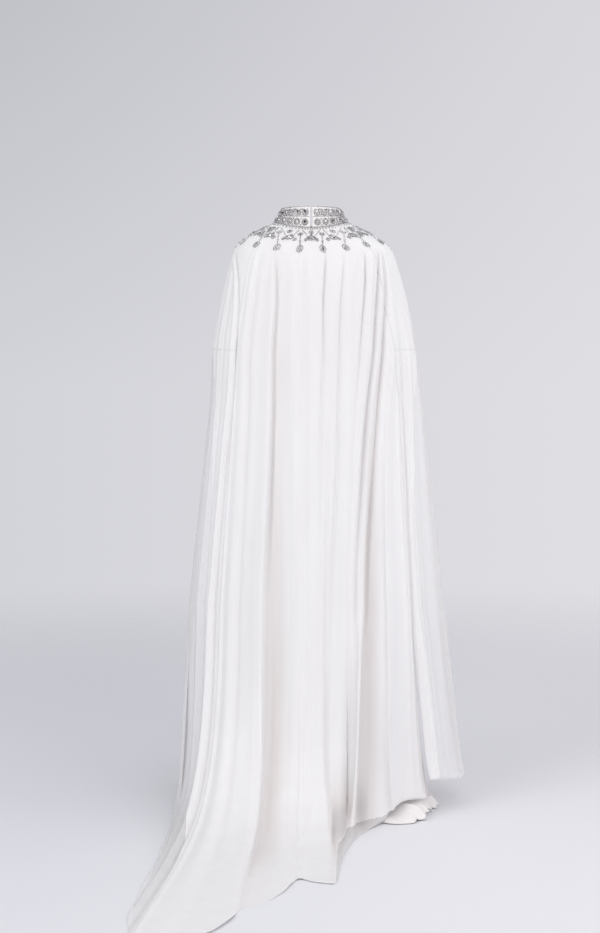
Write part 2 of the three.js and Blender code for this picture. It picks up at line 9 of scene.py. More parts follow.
import bpy
import numpy as np
from numpy.linalg import norm
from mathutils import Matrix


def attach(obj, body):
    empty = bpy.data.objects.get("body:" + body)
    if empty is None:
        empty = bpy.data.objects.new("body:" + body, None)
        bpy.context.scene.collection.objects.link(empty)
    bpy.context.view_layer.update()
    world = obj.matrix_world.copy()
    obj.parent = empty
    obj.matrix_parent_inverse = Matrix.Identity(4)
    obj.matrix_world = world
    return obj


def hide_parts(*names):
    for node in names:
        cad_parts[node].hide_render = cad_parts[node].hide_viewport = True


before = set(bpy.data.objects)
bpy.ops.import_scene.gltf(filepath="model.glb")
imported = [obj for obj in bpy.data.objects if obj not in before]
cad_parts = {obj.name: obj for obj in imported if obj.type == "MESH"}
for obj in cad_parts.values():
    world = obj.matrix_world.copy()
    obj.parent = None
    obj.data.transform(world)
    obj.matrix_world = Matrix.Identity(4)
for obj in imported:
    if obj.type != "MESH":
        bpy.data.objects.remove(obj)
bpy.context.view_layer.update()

MOUNT_HEIGHT = 1450
SHEER_THICK = 0.7
DRESS_THICK = 0.9
DRESS_HEM = 1.6
SEAM_GAP = 0.36
FLOOR_GAP = 0.05  # between the floor and cloth that lies on it
CURL = 3  # how far the upper side of lying cloth may dip below its under side
ELBOW = 6
KNEE = 10
HEM = 16


def table(text):
    """Named columns of numbers: their names, then rows, parted by semicolons."""
    names, *rows = text.split(";")
    return dict(zip(names.split(), np.array([row.split() for row in rows], float).T))


# Sections of the layers: their heights at the back, sides and front, their half sizes to
# the left, right, back and front, and how square their outline is (2 is an ellipse).
SHEER_RINGS = table("""
    ring backH sideH frontH left right back front square;
    0 1466 1484 1432 94 94 76 80 2.0;
    1 1448 1466 1405 130 131 98 100 2.1;
    2 1424 1446 1372 166 168 116 120 2.3;
    3 1388 1414 1332 195 204 130 136 2.5;
    4 1340 1362 1286 210 221 139 146 2.5;
    5 1260 1280 1226 229 244 147 150 2.4;
    6 1158 1164 1150 249 270 152 146 2.4;
    7 1040 1040 1040 256 286 156 148 2.35;
    8 890 890 890 271 302 163 162 2.3;
    9 710 710 710 290 320 174 184 2.25;
    10 520 520 520 309 340 190 208 2.2""")
# Below the knee: the share of the way out to the hem that trailing cloth has gone, and the
# share of its height that is left. Hems lie on x and y, at a height h.
SWING = table("""
    row out left;
    10 0 1; 11 0.03 0.7; 12 0.09 0.42; 13 0.2 0.2; 14 0.36 0.07; 15 0.62 0.012; 16 1 0""")
TRAIL = (90, 420)  # from this far out the cloth begins to trail, and from this far it all does
HEM_LINES = {
    "train": table("""
        angle x y h;
        -46 -290 150 40; -40 -240 180 44; -34 -204 206 36; -28 -170 246 5; -20 -108 368 0;
        -14 -62 580 0; -9 -47 738 0; -4 -6 726 0; 1 28 704 0; 8 68 805 0; 14 112 880 0;
        19 150 912 0; 22 172 990 0; 28 215 1070 0; 36 285 1112 0; 46 362 1080 0; 54 378 965 0;
        64 366 745 0; 74 352 545 0; 84 346 370 0; 94 340 200 0; 106 332 30 4; 120 304 -130 14"""),
    "wing_right": table("""
        angle x y h;
        -120 -318 -190 46; -105 -372 -112 52; -90 -390 -30 58; -70 -384 40 64; -56 -350 105 78;
        -46 -297 152 88"""),
    "front_left": table("""
        angle x y h;
        120 292 -185 14; 132 240 -236 14; 146 180 -285 12; 160 108 -316 12; 174 46 -328 12"""),
    "front_right": table("""
        angle x y h;
        -174 -46 -328 12; -160 -108 -316 12; -146 -180 -285 12; -132 -240 -236 14;
        -120 -292 -190 14"""),
}

# Folds of the sheer layer: where the crest runs, in degrees, at eight rows; its half
# widths; its height at four rows, negative for a groove; and how far it leans to the
# left, in degrees.
CREST_AT, CREST_ROWS = (3, 4, 6, 8, 10, 12, 14, 16), np.array([3, 4.5, 6, 8, 10, 12, 14, 16])
HEIGHT_AT, HEIGHT_ROWS = (4, 8, 12, 16), np.array([4.5, 8, 12, 16])
FOLDS = table("""
    a3 a4 a6 a8 a10 a12 a14 a16 right left h4 h8 h12 h16 lean;
    44 44 44 44 43.5 43.5 43.5 43.5 2.4 2.2 -1.4 -2 -3 -3 0;
    40 40 39.5 39 39 39 39 39 3.4 3.2 1.6 2 4 4 0;
    36 36 35 34.5 34.5 34.5 34.5 34.5 3 3 -1.2 -2 -3 -2 0;
    31 31 30.5 30 30 30 30 30 4 4 1 2 3 2 0;
    23.5 20.5 20 20.5 22 22 22 22.5 2.8 9 4 9 16 8 -0.7;
    18.5 17 16.8 17 16 15.5 16 17.5 10 5 -3 -8 -17 -10 0;
    22 18.8 18.2 18.6 19.6 19.6 19.6 19.4 2.4 1.2 -6 -6 -7 -9 0;
    10 9 8 6 4 5 4 4 4.6 5 2 4 9 5 0;
    3.4 3.2 3 3.6 3.6 4 4 3.5 1.3 1.3 -2 -2 -3 -6 0;
    0.8 0.6 0.5 0.5 0.5 0.5 0.5 0.5 1.9 1.7 2.2 3 5 3 0;
    -6.5 -4.8 -4 -2.8 -2.5 -2.5 -2.5 -2.5 1.2 1.1 -8 -4 -1 0 0;
    -11 -8.5 -7 -5.6 -4.6 -4.8 -7.3 -9.5 1.3 1.2 1 -3 -7 -3 0;
    -18.5 -14.5 -11.3 -9.5 -6.3 -5.5 -7 -8 1.3 1.2 -5 -5 -3 0 0;
    -27 -20 -16 -13 -12 -12 -11.5 -11 4.2 5 2 5 7 1 0;
    -36 -30.5 -22.5 -17 -14 -14 -14 -14 1.4 1.3 -8 -2 0 0 0;
    -44 -36 -27 -20 -15.5 -15.5 -15 -15 2 2.2 4 4 1 0 0;
    -52 -41.5 -31 -21.8 -16.8 -17 -16 -17 1.8 1.6 -11 -9 -4 0 0;
    -54.5 -46 -34.5 -25 -20 -19 -18 -18 1.7 1.7 4 4 1 0 0;
    -57 -50 -38 -28.5 -22 -21 -20 -20 1.8 1.8 -9 -9 -2 0 0;
    -50 -44 -36 -26 -24 -24 -23 -21.5 6.5 6.5 -1 -9 -22 -8 0;
    -60 -54 -45 -34.3 -31.6 -31.2 -32 -33 6.5 2 3 9 17 14 1.0;
    -62 -56 -50 -43.3 -42 -41.5 -41.5 -42 2.2 2.6 1 4 7 5 0;
    -63 -58 -52 -49 -46.4 -45.4 -45.6 -46 1.8 1.6 -2 -6 -9 -7 0;
    -64.5 -63.5 -61.5 -55 -52 -50.5 -50 -50 1.8 1.8 6 5 9 8 0;
    74 53 46 49 50 50 50 50 2 1.8 -7 -5 -6 -6 0;
    78 57 50.5 53.5 54 54 54 54 2.4 2.4 3 4 9 8 0;
    82 63 60 61 60 60 59 58 2.6 2.6 -2 -2.2 -4.4 -3.9 0;
    70 68 67 66 66 66 65 64 3 3.4 2 2.2 5.5 5 0.6;
    76 75 73 72.5 73 73 72 71 2.4 2.4 -3 -2.2 -4.4 -3.9 0;
    84 82 80 79 79 79 79 78 3.4 3.8 2 2.2 6.1 5 0.6;
    90 89 87 86 86 86 86 86 2.6 2.6 -2 -2.2 -4.4 -3.3 0;
    96 95 93 92 92 93 93 93 3.2 3 2 2.2 5.5 4.4 0;
    103 102 98.5 98 98 99 99 99 3 3 -2 -1.7 -3.3 -2.8 0;
    -69 -68 -66 -61 -58.5 -57 -56 -55 3 3 -2 -3 -5 -4 0;
    -74 -73 -71 -67 -65 -64 -63 -62 4 4 2 1.7 3.3 3.3 0;
    -79 -78 -77 -74 -72 -71 -70 -69 3 3 -2 -1.7 -2.8 -2.2 0;
    -85 -84 -83 -80 -79 -78 -77 -76 3.4 3.2 2 2.2 6.1 5 0.6;
    -91 -90 -88 -86 -86 -86 -85 -84 2.4 2.6 -2 -2.2 -4.4 -3.3 0;
    -97 -96 -94 -92 -92 -93 -93 -92 3 3 2 2.2 5.5 4.4 0;
    -103 -102 -99 -98 -99 -99 -99 -99 3 3 -2 -1.7 -3.3 -2.8 0;
    140 148 158 153 150 149 148 147 3.2 3.4 3 5 11 12 0.6;
    147 154 162 158 156 155 154 154 2.4 2.4 -3 -5 -8 -7 0;
    155 161 166 163.5 162.5 162 161 161 3 3 3 5 12 12 0;
    163 167 170 168.5 168 168 168 168 2 2.2 -3 -4 -7 -6 0;
    -139 -147 -158 -152 -150 -149 -148 -147 3.4 3 3 5 12 12 -0.6;
    -147 -153 -162 -158 -157 -156 -155 -154 2.4 2.4 -3 -5 -8 -7 0;
    -156 -161 -166 -163 -162 -162 -161 -160 3 3 3 5 11 12 0;
    -164 -167 -170 -169 -168 -168 -168 -168 2.2 2 -3 -4 -7 -6 0""")
FOLD_START = (1.9, 4.2)  # rows in which the folds grow from nothing
LEAN_ROWS = (6, 12)
LEAN_SHARE = 0.3  # of a fold's lean, above those rows
SETTLED = (14.4, 15.6)  # rows in which the folds sink on the floor
SUNK = 0.55
NEAR = 12  # degrees beyond a panel in which folds still count
DEEPEST = -34
LYING_LIFT, HEM_LIFT = 6, 2.5  # of cloth that lies on the floor, and of its very hem
FINE = {
    "count": 96, "seed": 11, "spread": 172, "jitter": 1.6, "drift": 0.25, "width": (0.7, 1.7),
    "height": (0.15, 0.8), "start": (1.9, 8), "length": (4, 12), "ends": 1.5,
}

DRESS_RINGS = table("""
    ring backH sideH frontH left right back front square;
    0 1464.4 1482.4 1430.4 93.2 93.2 75.2 79 2.0;
    1 1440 1456 1396 121 121 91 92 2.1;
    2 1414 1434 1362 148 148 105 108 2.3;
    3 1378 1394 1328 156 156 110 118 2.4;
    4 1322 1330 1296 150 150 110 124 2.4;
    5 1258 1262 1250 138 138 108 122 2.3;
    6 1180 1180 1176 128 128 102 112 2.2;
    7 1080 1080 1080 126 126 98 106 2.1;
    8 950 950 950 160 160 114 118 2.1;
    9 770 770 770 196 198 130 136 2.1;
    10 550 550 550 226 232 144 152 2.1;
    11 300 300 300 256 266 160 172 2.1;
    12 110 110 110 276 290 176 190 2.1;
    13 22 22 22 284 304 184 200 2.1;
    14 2 2 2 290 318 190 212 2.1""")
DRESS_WAVES = table("count height phase; 9 5.4 0.7; 5 2.7 2.1")
DRESS_WAVE_ROWS = (8, 12)
DRESS_IN = 4  # how far the waves are drawn in
# The hem of the right back lies on the floor: how far out, and in which waves and ripples
PUDDLE = table("""
    angle out;
    -200 0; -90 0; -70 19; -44 75; -31 112; -25 104; -20 30; -15 0; 380 0""")
PUDDLE_ROWS = (12.3, 14)
PUDDLE_WAVES = {"right": (-76, -64), "left": (-29, -37), "roll": 15, "ripple": 5, "sway": 11}
ROLL_ROWS = ((12.4, 13.2), (13.4, 14))
RIPPLE_ROWS = (12.8, 13.6)
ARMHOLE_TOP, ARMHOLE_BOTTOM, ARMHOLE_DEPTH = 2.25, 5, 34
ARM_SECTIONS = table("""
    out back h lean pitch long broad;
    163 3 1324 17 0 62 58;
    171 5 1288 36 0 50 52;
    179 8 1248 56 0 43 47;
    186 11 1200 75 0 41 45;
    192 12 1148 86 8 41 44;
    198 4 1094 90 42 41 46;
    198 -50 1070 90 76 40 42;
    190 -120 1075 90 90 39 40;
    174 -188 1090 90 98 38 38;
    150 -250 1106 90 100 37 37""")
RIGHT_ARM_OUT, RIGHT_ARM_FULL = 8, 4  # the right arm is held further out, from this section on
ARMHOLE_GAP = 1.2  # degrees between the armhole and the sleeve
SLEEVE_SPANS = 64
COLLAR_RINGS = table("""
    ring backH sideH frontH left right back front square;
    0 1466.8 1484.8 1432.8 93.6 93.6 75.6 79.6 2.0;
    1 1494 1500 1456 84 84 68 72 2.0;
    2 1524 1520 1482 74 74 62 65 2.0""")
COLLAR_SLIT = 1.9
ARM_SLIT = table("""
    row wing front;
    4 120 120; 5 113 134; 6 103 153; 7 101 155; 8 102 153; 10 104 146; 16 107 138""")
BACK_EDGE = 46
FRONT_EDGE = 174


# Surfaces


def along(rows, column, at):
    """Value of a column on a smooth curve over the table's first column."""
    return curve(next(iter(rows.values())), rows[column], at)


def curve(x, y, at):
    """Values on a smooth curve through points, which never overshoots one."""
    slope = np.diff(y) / np.diff(x)
    before, after = slope[:-1], slope[1:]
    level = before * after <= 0
    total = np.where(level, 1, before + after)
    inside = np.where(level, 0, 2 * before * after / total)
    tangent = np.concatenate([slope[:1], inside, slope[-1:]])
    at = np.clip(at, x[0], x[-1])
    i = np.clip(np.searchsorted(x, at, side="right") - 1, 0, len(x) - 2)
    span = x[i + 1] - x[i]
    s = (at - x[i]) / span
    start = y[i] * (1 + 2 * s) * (1 - s) ** 2 + tangent[i] * span * s * (1 - s) ** 2
    end = y[i + 1] * s * s * (3 - 2 * s) + tangent[i + 1] * span * s * s * (s - 1)
    return start + end


def ease(low, high, t):
    s = np.clip((t - low) / (high - low), 0, 1)
    return s * s * (3 - 2 * s)


def ring_point(rings, angle, ring):
    """Points of a section at angles round from the centre back."""

    def value(column):
        return along(rings, column, ring)

    turn = np.radians(angle)
    sin, cos = np.sin(turn), np.cos(turn)
    power = 2 / value("square")
    sides = np.where(sin >= 0, value("left"), value("right"))
    depth = np.where(cos >= 0, value("back"), value("front"))
    end = np.where(cos >= 0, value("backH"), value("frontH"))
    x = np.sign(sin) * np.abs(sin) ** power * sides
    y = np.sign(cos) * np.abs(cos) ** power * depth
    z = value("sideH") * sin**2 + end * cos**2 - MOUNT_HEIGHT
    return np.stack([x, y, z], -1)


def fine_folds():
    """Slight creases between the main folds: angle, drift, half width, height, rows."""
    draw = np.random.default_rng(FINE["seed"])
    count = FINE["count"]

    def even(low, high):
        return draw.uniform(low, high, count)

    spread, jitter = FINE["spread"], FINE["jitter"]
    angle = np.linspace(-spread, spread, count) + even(-jitter, jitter)
    drift = even(-FINE["drift"], FINE["drift"])
    width = even(*FINE["width"])
    height = even(*FINE["height"]) * draw.choice([-1, 1], count)
    start = even(*FINE["start"])
    return np.stack([angle, drift, width, height, start, start + even(*FINE["length"])], 1)


FINE_FOLDS = fine_folds()


def bump_of(away, right, left):
    reach = np.where(away < 0, right, left)
    return 0.5 + 0.5 * np.cos(np.pi * np.clip(away / reach, -1, 1))


def fold_shape(angle, row):
    """Height of the folds, and how far they lean, in degrees."""
    height = np.zeros(np.broadcast(angle, row).shape)
    shift = np.zeros_like(height)
    low, high = np.min(angle) - NEAR, np.max(angle) + NEAR
    for k in range(len(FOLDS["a3"])):
        crest = np.array([FOLDS[f"a{at}"][k] for at in CREST_AT])
        if crest.max() < low or crest.min() > high:
            continue
        tall = np.array([FOLDS[f"h{at}"][k] for at in HEIGHT_AT])
        bump = bump_of(angle - curve(CREST_ROWS, crest, row), FOLDS["right"][k], FOLDS["left"][k])
        height += curve(HEIGHT_ROWS, tall, row) * bump
        leaning = LEAN_SHARE + (1 - LEAN_SHARE) * ease(*LEAN_ROWS, row)
        shift += FOLDS["lean"][k] * bump**2 * leaning
    for at, drift, width, tall, start, end in FINE_FOLDS:
        if at < low or at > high:
            continue
        away = angle - at - drift * (row - 8)
        ends = ease(start, start + FINE["ends"], row)
        ends = ends * (1 - ease(end - FINE["ends"], end, row))
        height += tall * bump_of(away, width, width) * ends
    begin = ease(*FOLD_START, row)
    flat = 1 - SUNK * ease(*SETTLED, row)
    return height * begin * flat, shift * begin * flat


def sheer_base(hem, angle, row):
    angle, row = np.broadcast_arrays(angle, row)
    upper = ring_point(SHEER_RINGS, angle, np.minimum(row, KNEE))
    foot = ring_point(SHEER_RINGS, angle, np.full(row.shape, float(KNEE)))
    end = np.stack([along(hem, c, angle) for c in ("x", "y", "h")], -1)
    end[..., 2] -= MOUNT_HEIGHT
    left = along(SWING, "left", row)
    way = np.hypot(end[..., 0] - foot[..., 0], end[..., 1] - foot[..., 1])
    trail = ease(*TRAIL, way)
    out = (1 - trail) * (1 - left) + trail * along(SWING, "out", row)
    lower = foot + (end - foot) * np.stack([out, out, 1 - left], -1)
    return np.where((row <= KNEE)[..., None], upper, lower)


def unit(v):
    return v / np.maximum(norm(v, axis=-1, keepdims=True), 1e-9)


def normal_of(point, angle, row):
    across = point(angle + 0.8, row) - point(angle - 0.8, row)
    down = point(angle, row + 0.12) - point(angle, row - 0.12)
    return unit(np.cross(across, down))


def sheer_middle(hem):
    def base(angle, row):
        return sheer_base(hem, angle, row)

    def middle(angle, row):
        angle, row = np.broadcast_arrays(np.asarray(angle, float), np.asarray(row, float))
        height, shift = fold_shape(angle, row)
        lying = ease(KNEE + 3, HEM - 1, row)
        settled = ease(HEM - 1, HEM, row)
        floor_lift = LYING_LIFT - (LYING_LIFT - HEM_LIFT) * settled
        lift = np.maximum(height + lying * floor_lift, DEEPEST * (1 - lying))
        at = angle + shift
        return base(at, row) + normal_of(base, at, row) * lift[..., None]

    return middle


def dress_middle(angle, ring):
    angle, ring = np.broadcast_arrays(np.asarray(angle, float), np.asarray(ring, float))
    point = ring_point(DRESS_RINGS, angle, ring)
    turn = np.radians(angle)
    wave = sum(h * np.sin(n * turn + phase) for n, h, phase in zip(*DRESS_WAVES.values()))
    lift = ease(*DRESS_WAVE_ROWS, ring) * (wave - DRESS_IN)
    flat = point * [1, 1, 0]
    point = point + unit(flat) * lift[..., None]
    waves = ease(*PUDDLE_WAVES["left"], angle) * ease(*PUDDLE_WAVES["right"], angle)
    roll = ease(*ROLL_ROWS[0], ring) * (1 - ease(*ROLL_ROWS[1], ring))
    ripple = waves * ease(*RIPPLE_ROWS, ring)
    spread = along(PUDDLE, "out", angle) * ease(*PUDDLE_ROWS, ring)
    spread = spread + PUDDLE_WAVES["sway"] * ripple * np.sin(angle / 1.3)
    point = point + unit(flat) * spread[..., None]
    crumple = 1 + np.sin(angle / 1.02 + 3 * (ring - 13))
    point[..., 2] += waves * roll * PUDDLE_WAVES["roll"] + ripple * PUDDLE_WAVES["ripple"] * crumple
    return point


# Meshes


def placed(name, data):
    obj = bpy.data.objects.new(name, data)
    bpy.context.scene.collection.objects.link(obj)
    return obj


def add_object(name, verts, faces, material, smooth):
    mesh = bpy.data.meshes.new(name)
    mesh.from_pydata(verts.tolist(), [], faces)
    mesh.polygons.foreach_set("use_smooth", smooth)
    mesh.materials.append(material)
    obj = placed(name, mesh)
    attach(obj, "root")
    return obj


def outward(verts, quads):
    """The faces, turned so that they point out of the closed form."""
    a, b, c, d = (verts[quads[:, k]] for k in range(4))
    volume = np.einsum("ij,ij->", a, np.cross(b, c)) + np.einsum("ij,ij->", a, np.cross(c, d))
    return quads[:, ::-1].tolist() if volume < 0 else quads.tolist()


def grid_faces(rows, columns, ring=False):
    """Faces of a closed wall between two grids, joined along their edges."""
    spans = columns if ring else columns - 1
    layer = rows * columns
    r, c = np.meshgrid(np.arange(rows - 1), np.arange(spans), indexing="ij")
    r, c = r.ravel(), c.ravel()
    nxt = (c + 1) % columns

    def at(side, row, column):
        return side * layer + row * columns + column

    parts = [
        np.stack([at(0, r, c), at(0, r + 1, c), at(0, r + 1, nxt), at(0, r, nxt)], 1),
        np.stack([at(1, r, c), at(1, r, nxt), at(1, r + 1, nxt), at(1, r + 1, c)], 1),
    ]

    def edge(from_row, from_column, to_row, to_column):
        start, end = (from_row, from_column), (to_row, to_column)
        parts.append(np.stack([at(0, *start), at(0, *end), at(1, *end), at(1, *start)], 1))

    c = np.arange(spans)
    nxt = (c + 1) % columns
    edge(0, c, 0, nxt)
    edge(rows - 1, nxt, rows - 1, c)
    if not ring:
        r = np.arange(rows - 1)
        edge(r + 1, 0, r, 0)
        edge(r, columns - 1, r + 1, columns - 1)
    return np.concatenate(parts)


def grid_normals(points, ring=False):
    down = np.gradient(points, axis=0)
    if ring:
        across = np.roll(points, -1, 1) - np.roll(points, 1, 1)
    else:
        across = np.gradient(points, axis=1)
    return unit(np.cross(across, down))


def shell(name, points, thick, material, ring=False, low=True, see_through=None):
    """A closed thin cloth on a grid of middle points. A low one is kept above the floor,
    and see_through says which cells of the grid are the single sheer cloth."""
    normals = grid_normals(points, ring)
    half = (np.asarray(thick) / 2)[..., None] if np.ndim(thick) else thick / 2
    outer = points + normals * half
    inner = points - normals * half
    if low:
        for side in (outer, inner):
            side[..., 2] = np.maximum(side[..., 2], FLOOR_GAP - MOUNT_HEIGHT)
        outer[..., 2] = np.maximum(outer[..., 2], inner[..., 2] - CURL)
    verts = np.concatenate([outer.reshape(-1, 3), inner.reshape(-1, 3)]) / 1000
    rows, columns = points.shape[:2]
    faces = outward(verts, grid_faces(rows, columns, ring))
    # the two broad sides are smooth, and the walls along the edges are flat
    smooth = np.arange(len(faces)) < 2 * (rows - 1) * (columns - (0 if ring else 1))
    obj = add_object(name, verts, faces, material, smooth)
    if see_through is not None:
        obj.data.materials.append(SHEER)
        index = np.zeros(len(faces), int)
        cells = see_through.astype(int).ravel()
        index[: 2 * len(cells)] = np.concatenate([cells, cells])
        obj.data.polygons.foreach_set("material_index", index)
    return obj


def panel_points(middle, rows, columns, from_edge, to_edge, trim=False, line=None):
    """Middle points of a panel between two edges, drawn in by half a seam gap, at the last
    row too if it is trimmed. A line (share, track) keeps the column at that share on a
    track of angles."""
    rows = rows.copy()
    if trim:
        mid = (from_edge(rows) + to_edge(rows)) / 2
        rows[-1] -= half_gap(middle, mid, rows)[1][-1]
    first = from_edge(rows) + half_gap(middle, from_edge(rows), rows)[0]
    last = to_edge(rows) - half_gap(middle, to_edge(rows), rows)[0]
    if line is None:
        angle = first[:, None] + (last - first)[:, None] * columns
    else:
        share, track = line
        between = np.clip(track(rows), first + 0.5, last - 0.5)
        angle = first[:, None] + (between - first)[:, None] * np.clip(columns / share, 0, 1)
        after = np.clip((columns - share) / (1 - share), 0, 1)
        angle = angle + (last - between)[:, None] * after
    return middle(angle, np.repeat(rows[:, None], len(columns), 1)), angle


def half_gap(middle, angle, row):
    """Half a seam gap, in degrees and in rows."""
    across = (middle(angle + 0.1, row) - middle(angle - 0.1, row)) / 0.2
    down = (middle(angle, row + 0.05) - middle(angle, row - 0.05)) / 0.1
    area = norm(np.cross(across, down), axis=-1)
    degrees = 0.5 * SEAM_GAP * norm(down, axis=-1) / area
    rows = 0.5 * SEAM_GAP * norm(across, axis=-1) / area
    return degrees, rows


def hemmed(shape, body, edge, left=0, right=0, top=0, bottom=0):
    """Thickness over a grid: thin cloth with thicker rolled edges, so many rows deep."""
    thick = np.full(shape, float(edge))
    thick[top : shape[0] - bottom, left : shape[1] - right] = body
    return thick


# Materials


def fill(node, values):
    for name, value in values.items():
        node.inputs[name].default_value = value
    return node


def wire(source, output, target, name):
    source.id_data.links.new(source.outputs[output], target.inputs[name])


def node_material(name, values):
    """A new material with these shader values: it, its nodes and its shader."""
    material = bpy.data.materials.new(name)
    material.use_nodes = True
    nodes = material.node_tree.nodes
    return material, nodes, fill(nodes["Principled BSDF"], values)


def add_node(nodes, kind, values=()):
    return fill(nodes.new("ShaderNode" + kind), dict(values))


def add_attribute(nodes, name):
    node = nodes.new("ShaderNodeAttribute")
    node.attribute_name = name
    return node


def add_mix(nodes, low=(1, 1, 1), high=(1, 1, 1), blend="MIX"):
    mix = nodes.new("ShaderNodeMix")
    mix.data_type = "RGBA"
    mix.blend_type = blend
    return fill(mix, {"A": (*low, 1), "B": (*high, 1)})


def add_range(nodes, low, high, to=(0, 1)):
    names = ("From Min", "From Max", "To Min", "To Max")
    return add_node(nodes, "MapRange", zip(names, (low, high, *to)))


def add_ramp(nodes, stops):
    """A colour ramp through stops of a place and a colour."""
    ramp = nodes.new("ShaderNodeValToRGB")
    elements = ramp.color_ramp.elements
    for i, (place, colour) in enumerate(stops):
        stop = elements[i] if i < 2 else elements.new(place)
        stop.position = place
        stop.color = (*colour, 1)
    return ramp


def weave(nodes, shader, grain, crinkle, low, high):
    """Fine woven grain and a soft crinkle as bump, each with a scale and a strength. The
    crinkle also tints the cloth from a low colour to a high one."""
    place = add_node(nodes, "TexCoord")
    stretch = add_node(nodes, "Mapping", {"Scale": (1, 1, 0.16)})
    fine = add_node(nodes, "TexNoise", {"Scale": grain[0], "Detail": 2})
    soft = add_node(nodes, "TexNoise", {"Scale": crinkle[0], "Detail": 3})
    sharp = add_node(nodes, "Bump", {"Strength": grain[1], "Distance": 0.0006})
    broad = add_node(nodes, "Bump", {"Strength": crinkle[1], "Distance": 0.004})
    ramp = add_ramp(nodes, [(0.3, low), (0.7, high)])
    wire(place, "Object", fine, "Vector")
    wire(place, "Object", stretch, "Vector")
    wire(stretch, "Vector", soft, "Vector")
    wire(fine, "Fac", sharp, "Height")
    wire(soft, "Fac", broad, "Height")
    wire(sharp, "Normal", broad, "Normal")
    wire(broad, "Normal", shader, "Normal")
    wire(soft, "Fac", ramp, "Fac")
    wire(ramp, "Color", shader, "Base Color")
    return ramp


CHIFFON = {
    "Roughness": 0.82, "Specular IOR Level": 0.25, "Sheen Weight": 0.12, "Sheen Roughness": 0.5,
}
CHIFFON_COLOURS = ((0.925, 0.915, 0.91), (0.945, 0.94, 0.938))
# Painted shade: how far the sheer cloth is darkened, by the attribute that holds its painted shade
# in fold grooves and hollows
PAINTED_SHADE_TONES = [(0, (1, 1, 1)), (1, (0.56, 0.54, 0.54)), (0.62, (0.885, 0.85, 0.835))]
CREPE = {"Roughness": 0.72, "Specular IOR Level": 0.3, "Sheen Weight": 0.1}
CREPE_COLOURS = ((0.86, 0.83, 0.81), (0.9, 0.87, 0.855))


def chiffon(name, alpha):
    material, nodes, shader = node_material(name, {**CHIFFON, "Alpha": alpha})
    ramp = weave(nodes, shader, (1400, 0.35), (26, 0.3), *CHIFFON_COLOURS)
    # painted shade: the cloth's colour is multiplied by the shade ramp, darker in folds and hollows
    painted_shade_mix = fill(add_mix(nodes, blend="MULTIPLY"), {"Factor": 1})
    painted_shade_ramp = add_ramp(nodes, PAINTED_SHADE_TONES)
    wire(add_attribute(nodes, "deep"), "Fac", painted_shade_ramp, "Fac")
    wire(ramp, "Color", painted_shade_mix, "A")
    wire(painted_shade_ramp, "Color", painted_shade_mix, "B")
    wire(painted_shade_mix, "Result", shader, "Base Color")
    return material


def crepe(name):
    material, nodes, shader = node_material(name, CREPE)
    weave(nodes, shader, (900, 0.5), (18, 0.25), *CREPE_COLOURS)
    return material


SHEER = chiffon("single_chiffon", 0.48)
DENSE = chiffon("double_chiffon", 0.85)
DRESS = crepe("dress_crepe")


# Cloth

LEFT_HEM = HEM_LINES["train"]
SHEER_HEM, SEAM_THICK = 1.2, 0.3
HEM_ROWS = 2
LAP = (0.75, 0.75, 0.3)  # how far the first rows of a wing lie behind the upper sleeve
# Where the double cloth of each sleeve ends, an angle for each row
DENSE_LINES = {
    "upper_left": table("row angle; 0 92; 2.4 96; 4.5 88; 6 80"),
    "upper_right": table("row angle; 0 -92; 2.4 -94; 4.5 -86; 6 -76"),
    "left": table("row angle; 6 80; 7.6 66; 10 57; 12 57; 13.6 54; 14.7 47.5; 16 46.6"),
    "right": table("row angle; 6 -76; 7.6 -58; 9.2 -51; 12 -50; 14 -49.5; 16 -49"),
}
DENSE_SHARE = {1: 0.4, -1: 0.6}  # the share of a sleeve's columns before that line
# Painted shade on the sheer cloth: darker in the fold grooves (painted shade, with some of the
# warmer colour of cloth lying doubled there), a painted shadow in the hollow beside the train, and
# darker towards the upper centre back
FOLD_PAINTED_SHADE, FOLD_DEPTH = 0.66, 19
HOLLOW_PAINTED_SHADOW = {
    "tone": 0.8, "left": (-6.8, -8), "right": (-28, -22), "fade": (-12.5, -18), "fade_by": 0.7,
    "from": (12.4, 13.8), "to": (14.2, 15.6), "end_by": 0.8,
}
BACK_TONE, BACK_ANGLES, BACK_ROWS = 0.1, (44, 30), (8.5, 5.5)
rows_all = np.concatenate(
    [np.linspace(0, KNEE, 96), np.linspace(KNEE, HEM, 114)[1:-1], [HEM - 0.02, HEM]]
)


def constant(value):
    return lambda row: np.full(np.shape(row), float(value))


def track(rows, column):
    return lambda row: along(rows, column, row)


def sided(sign, *edges):
    """The edges of a panel at the left, or their mirrored ones at the right."""
    return [lambda row, edge=edge: sign * edge(row) for edge in edges[::sign]]


wing_edge, front_edge = track(ARM_SLIT, "wing"), track(ARM_SLIT, "front")


def finish_sheet(cloth):
    node = cloth.name.replace("_cloth", "")
    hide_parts(node)


def painted_shade_tone(angle, rows):
    """How dark the sheer cloth is painted at each point: painted shade in the fold grooves, a
    painted shadow in the hollow beside the train, and darker towards the upper centre back.
    """
    height, _ = fold_shape(angle, np.repeat(rows[:, None], angle.shape[1], 1))
    # painted shadow inside the hollow beside the train
    hollow = ease(*HOLLOW_PAINTED_SHADOW["left"], angle) * ease(*HOLLOW_PAINTED_SHADOW["right"], angle)
    hollow = hollow * (1 - HOLLOW_PAINTED_SHADOW["fade_by"] * ease(*HOLLOW_PAINTED_SHADOW["fade"], angle))
    end = 1 - HOLLOW_PAINTED_SHADOW["end_by"] * ease(*HOLLOW_PAINTED_SHADOW["to"], rows)
    hollow = hollow * (ease(*HOLLOW_PAINTED_SHADOW["from"], rows) * end)[:, None]
    back = ease(*BACK_ANGLES, np.abs(angle)) * ease(*BACK_ROWS, rows)[:, None]
    # painted shade in the fold grooves, darkest where they are deepest
    folds = ease(0, FOLD_DEPTH, -height)
    return FOLD_PAINTED_SHADE * folds + HOLLOW_PAINTED_SHADOW["tone"] * hollow + BACK_TONE * back


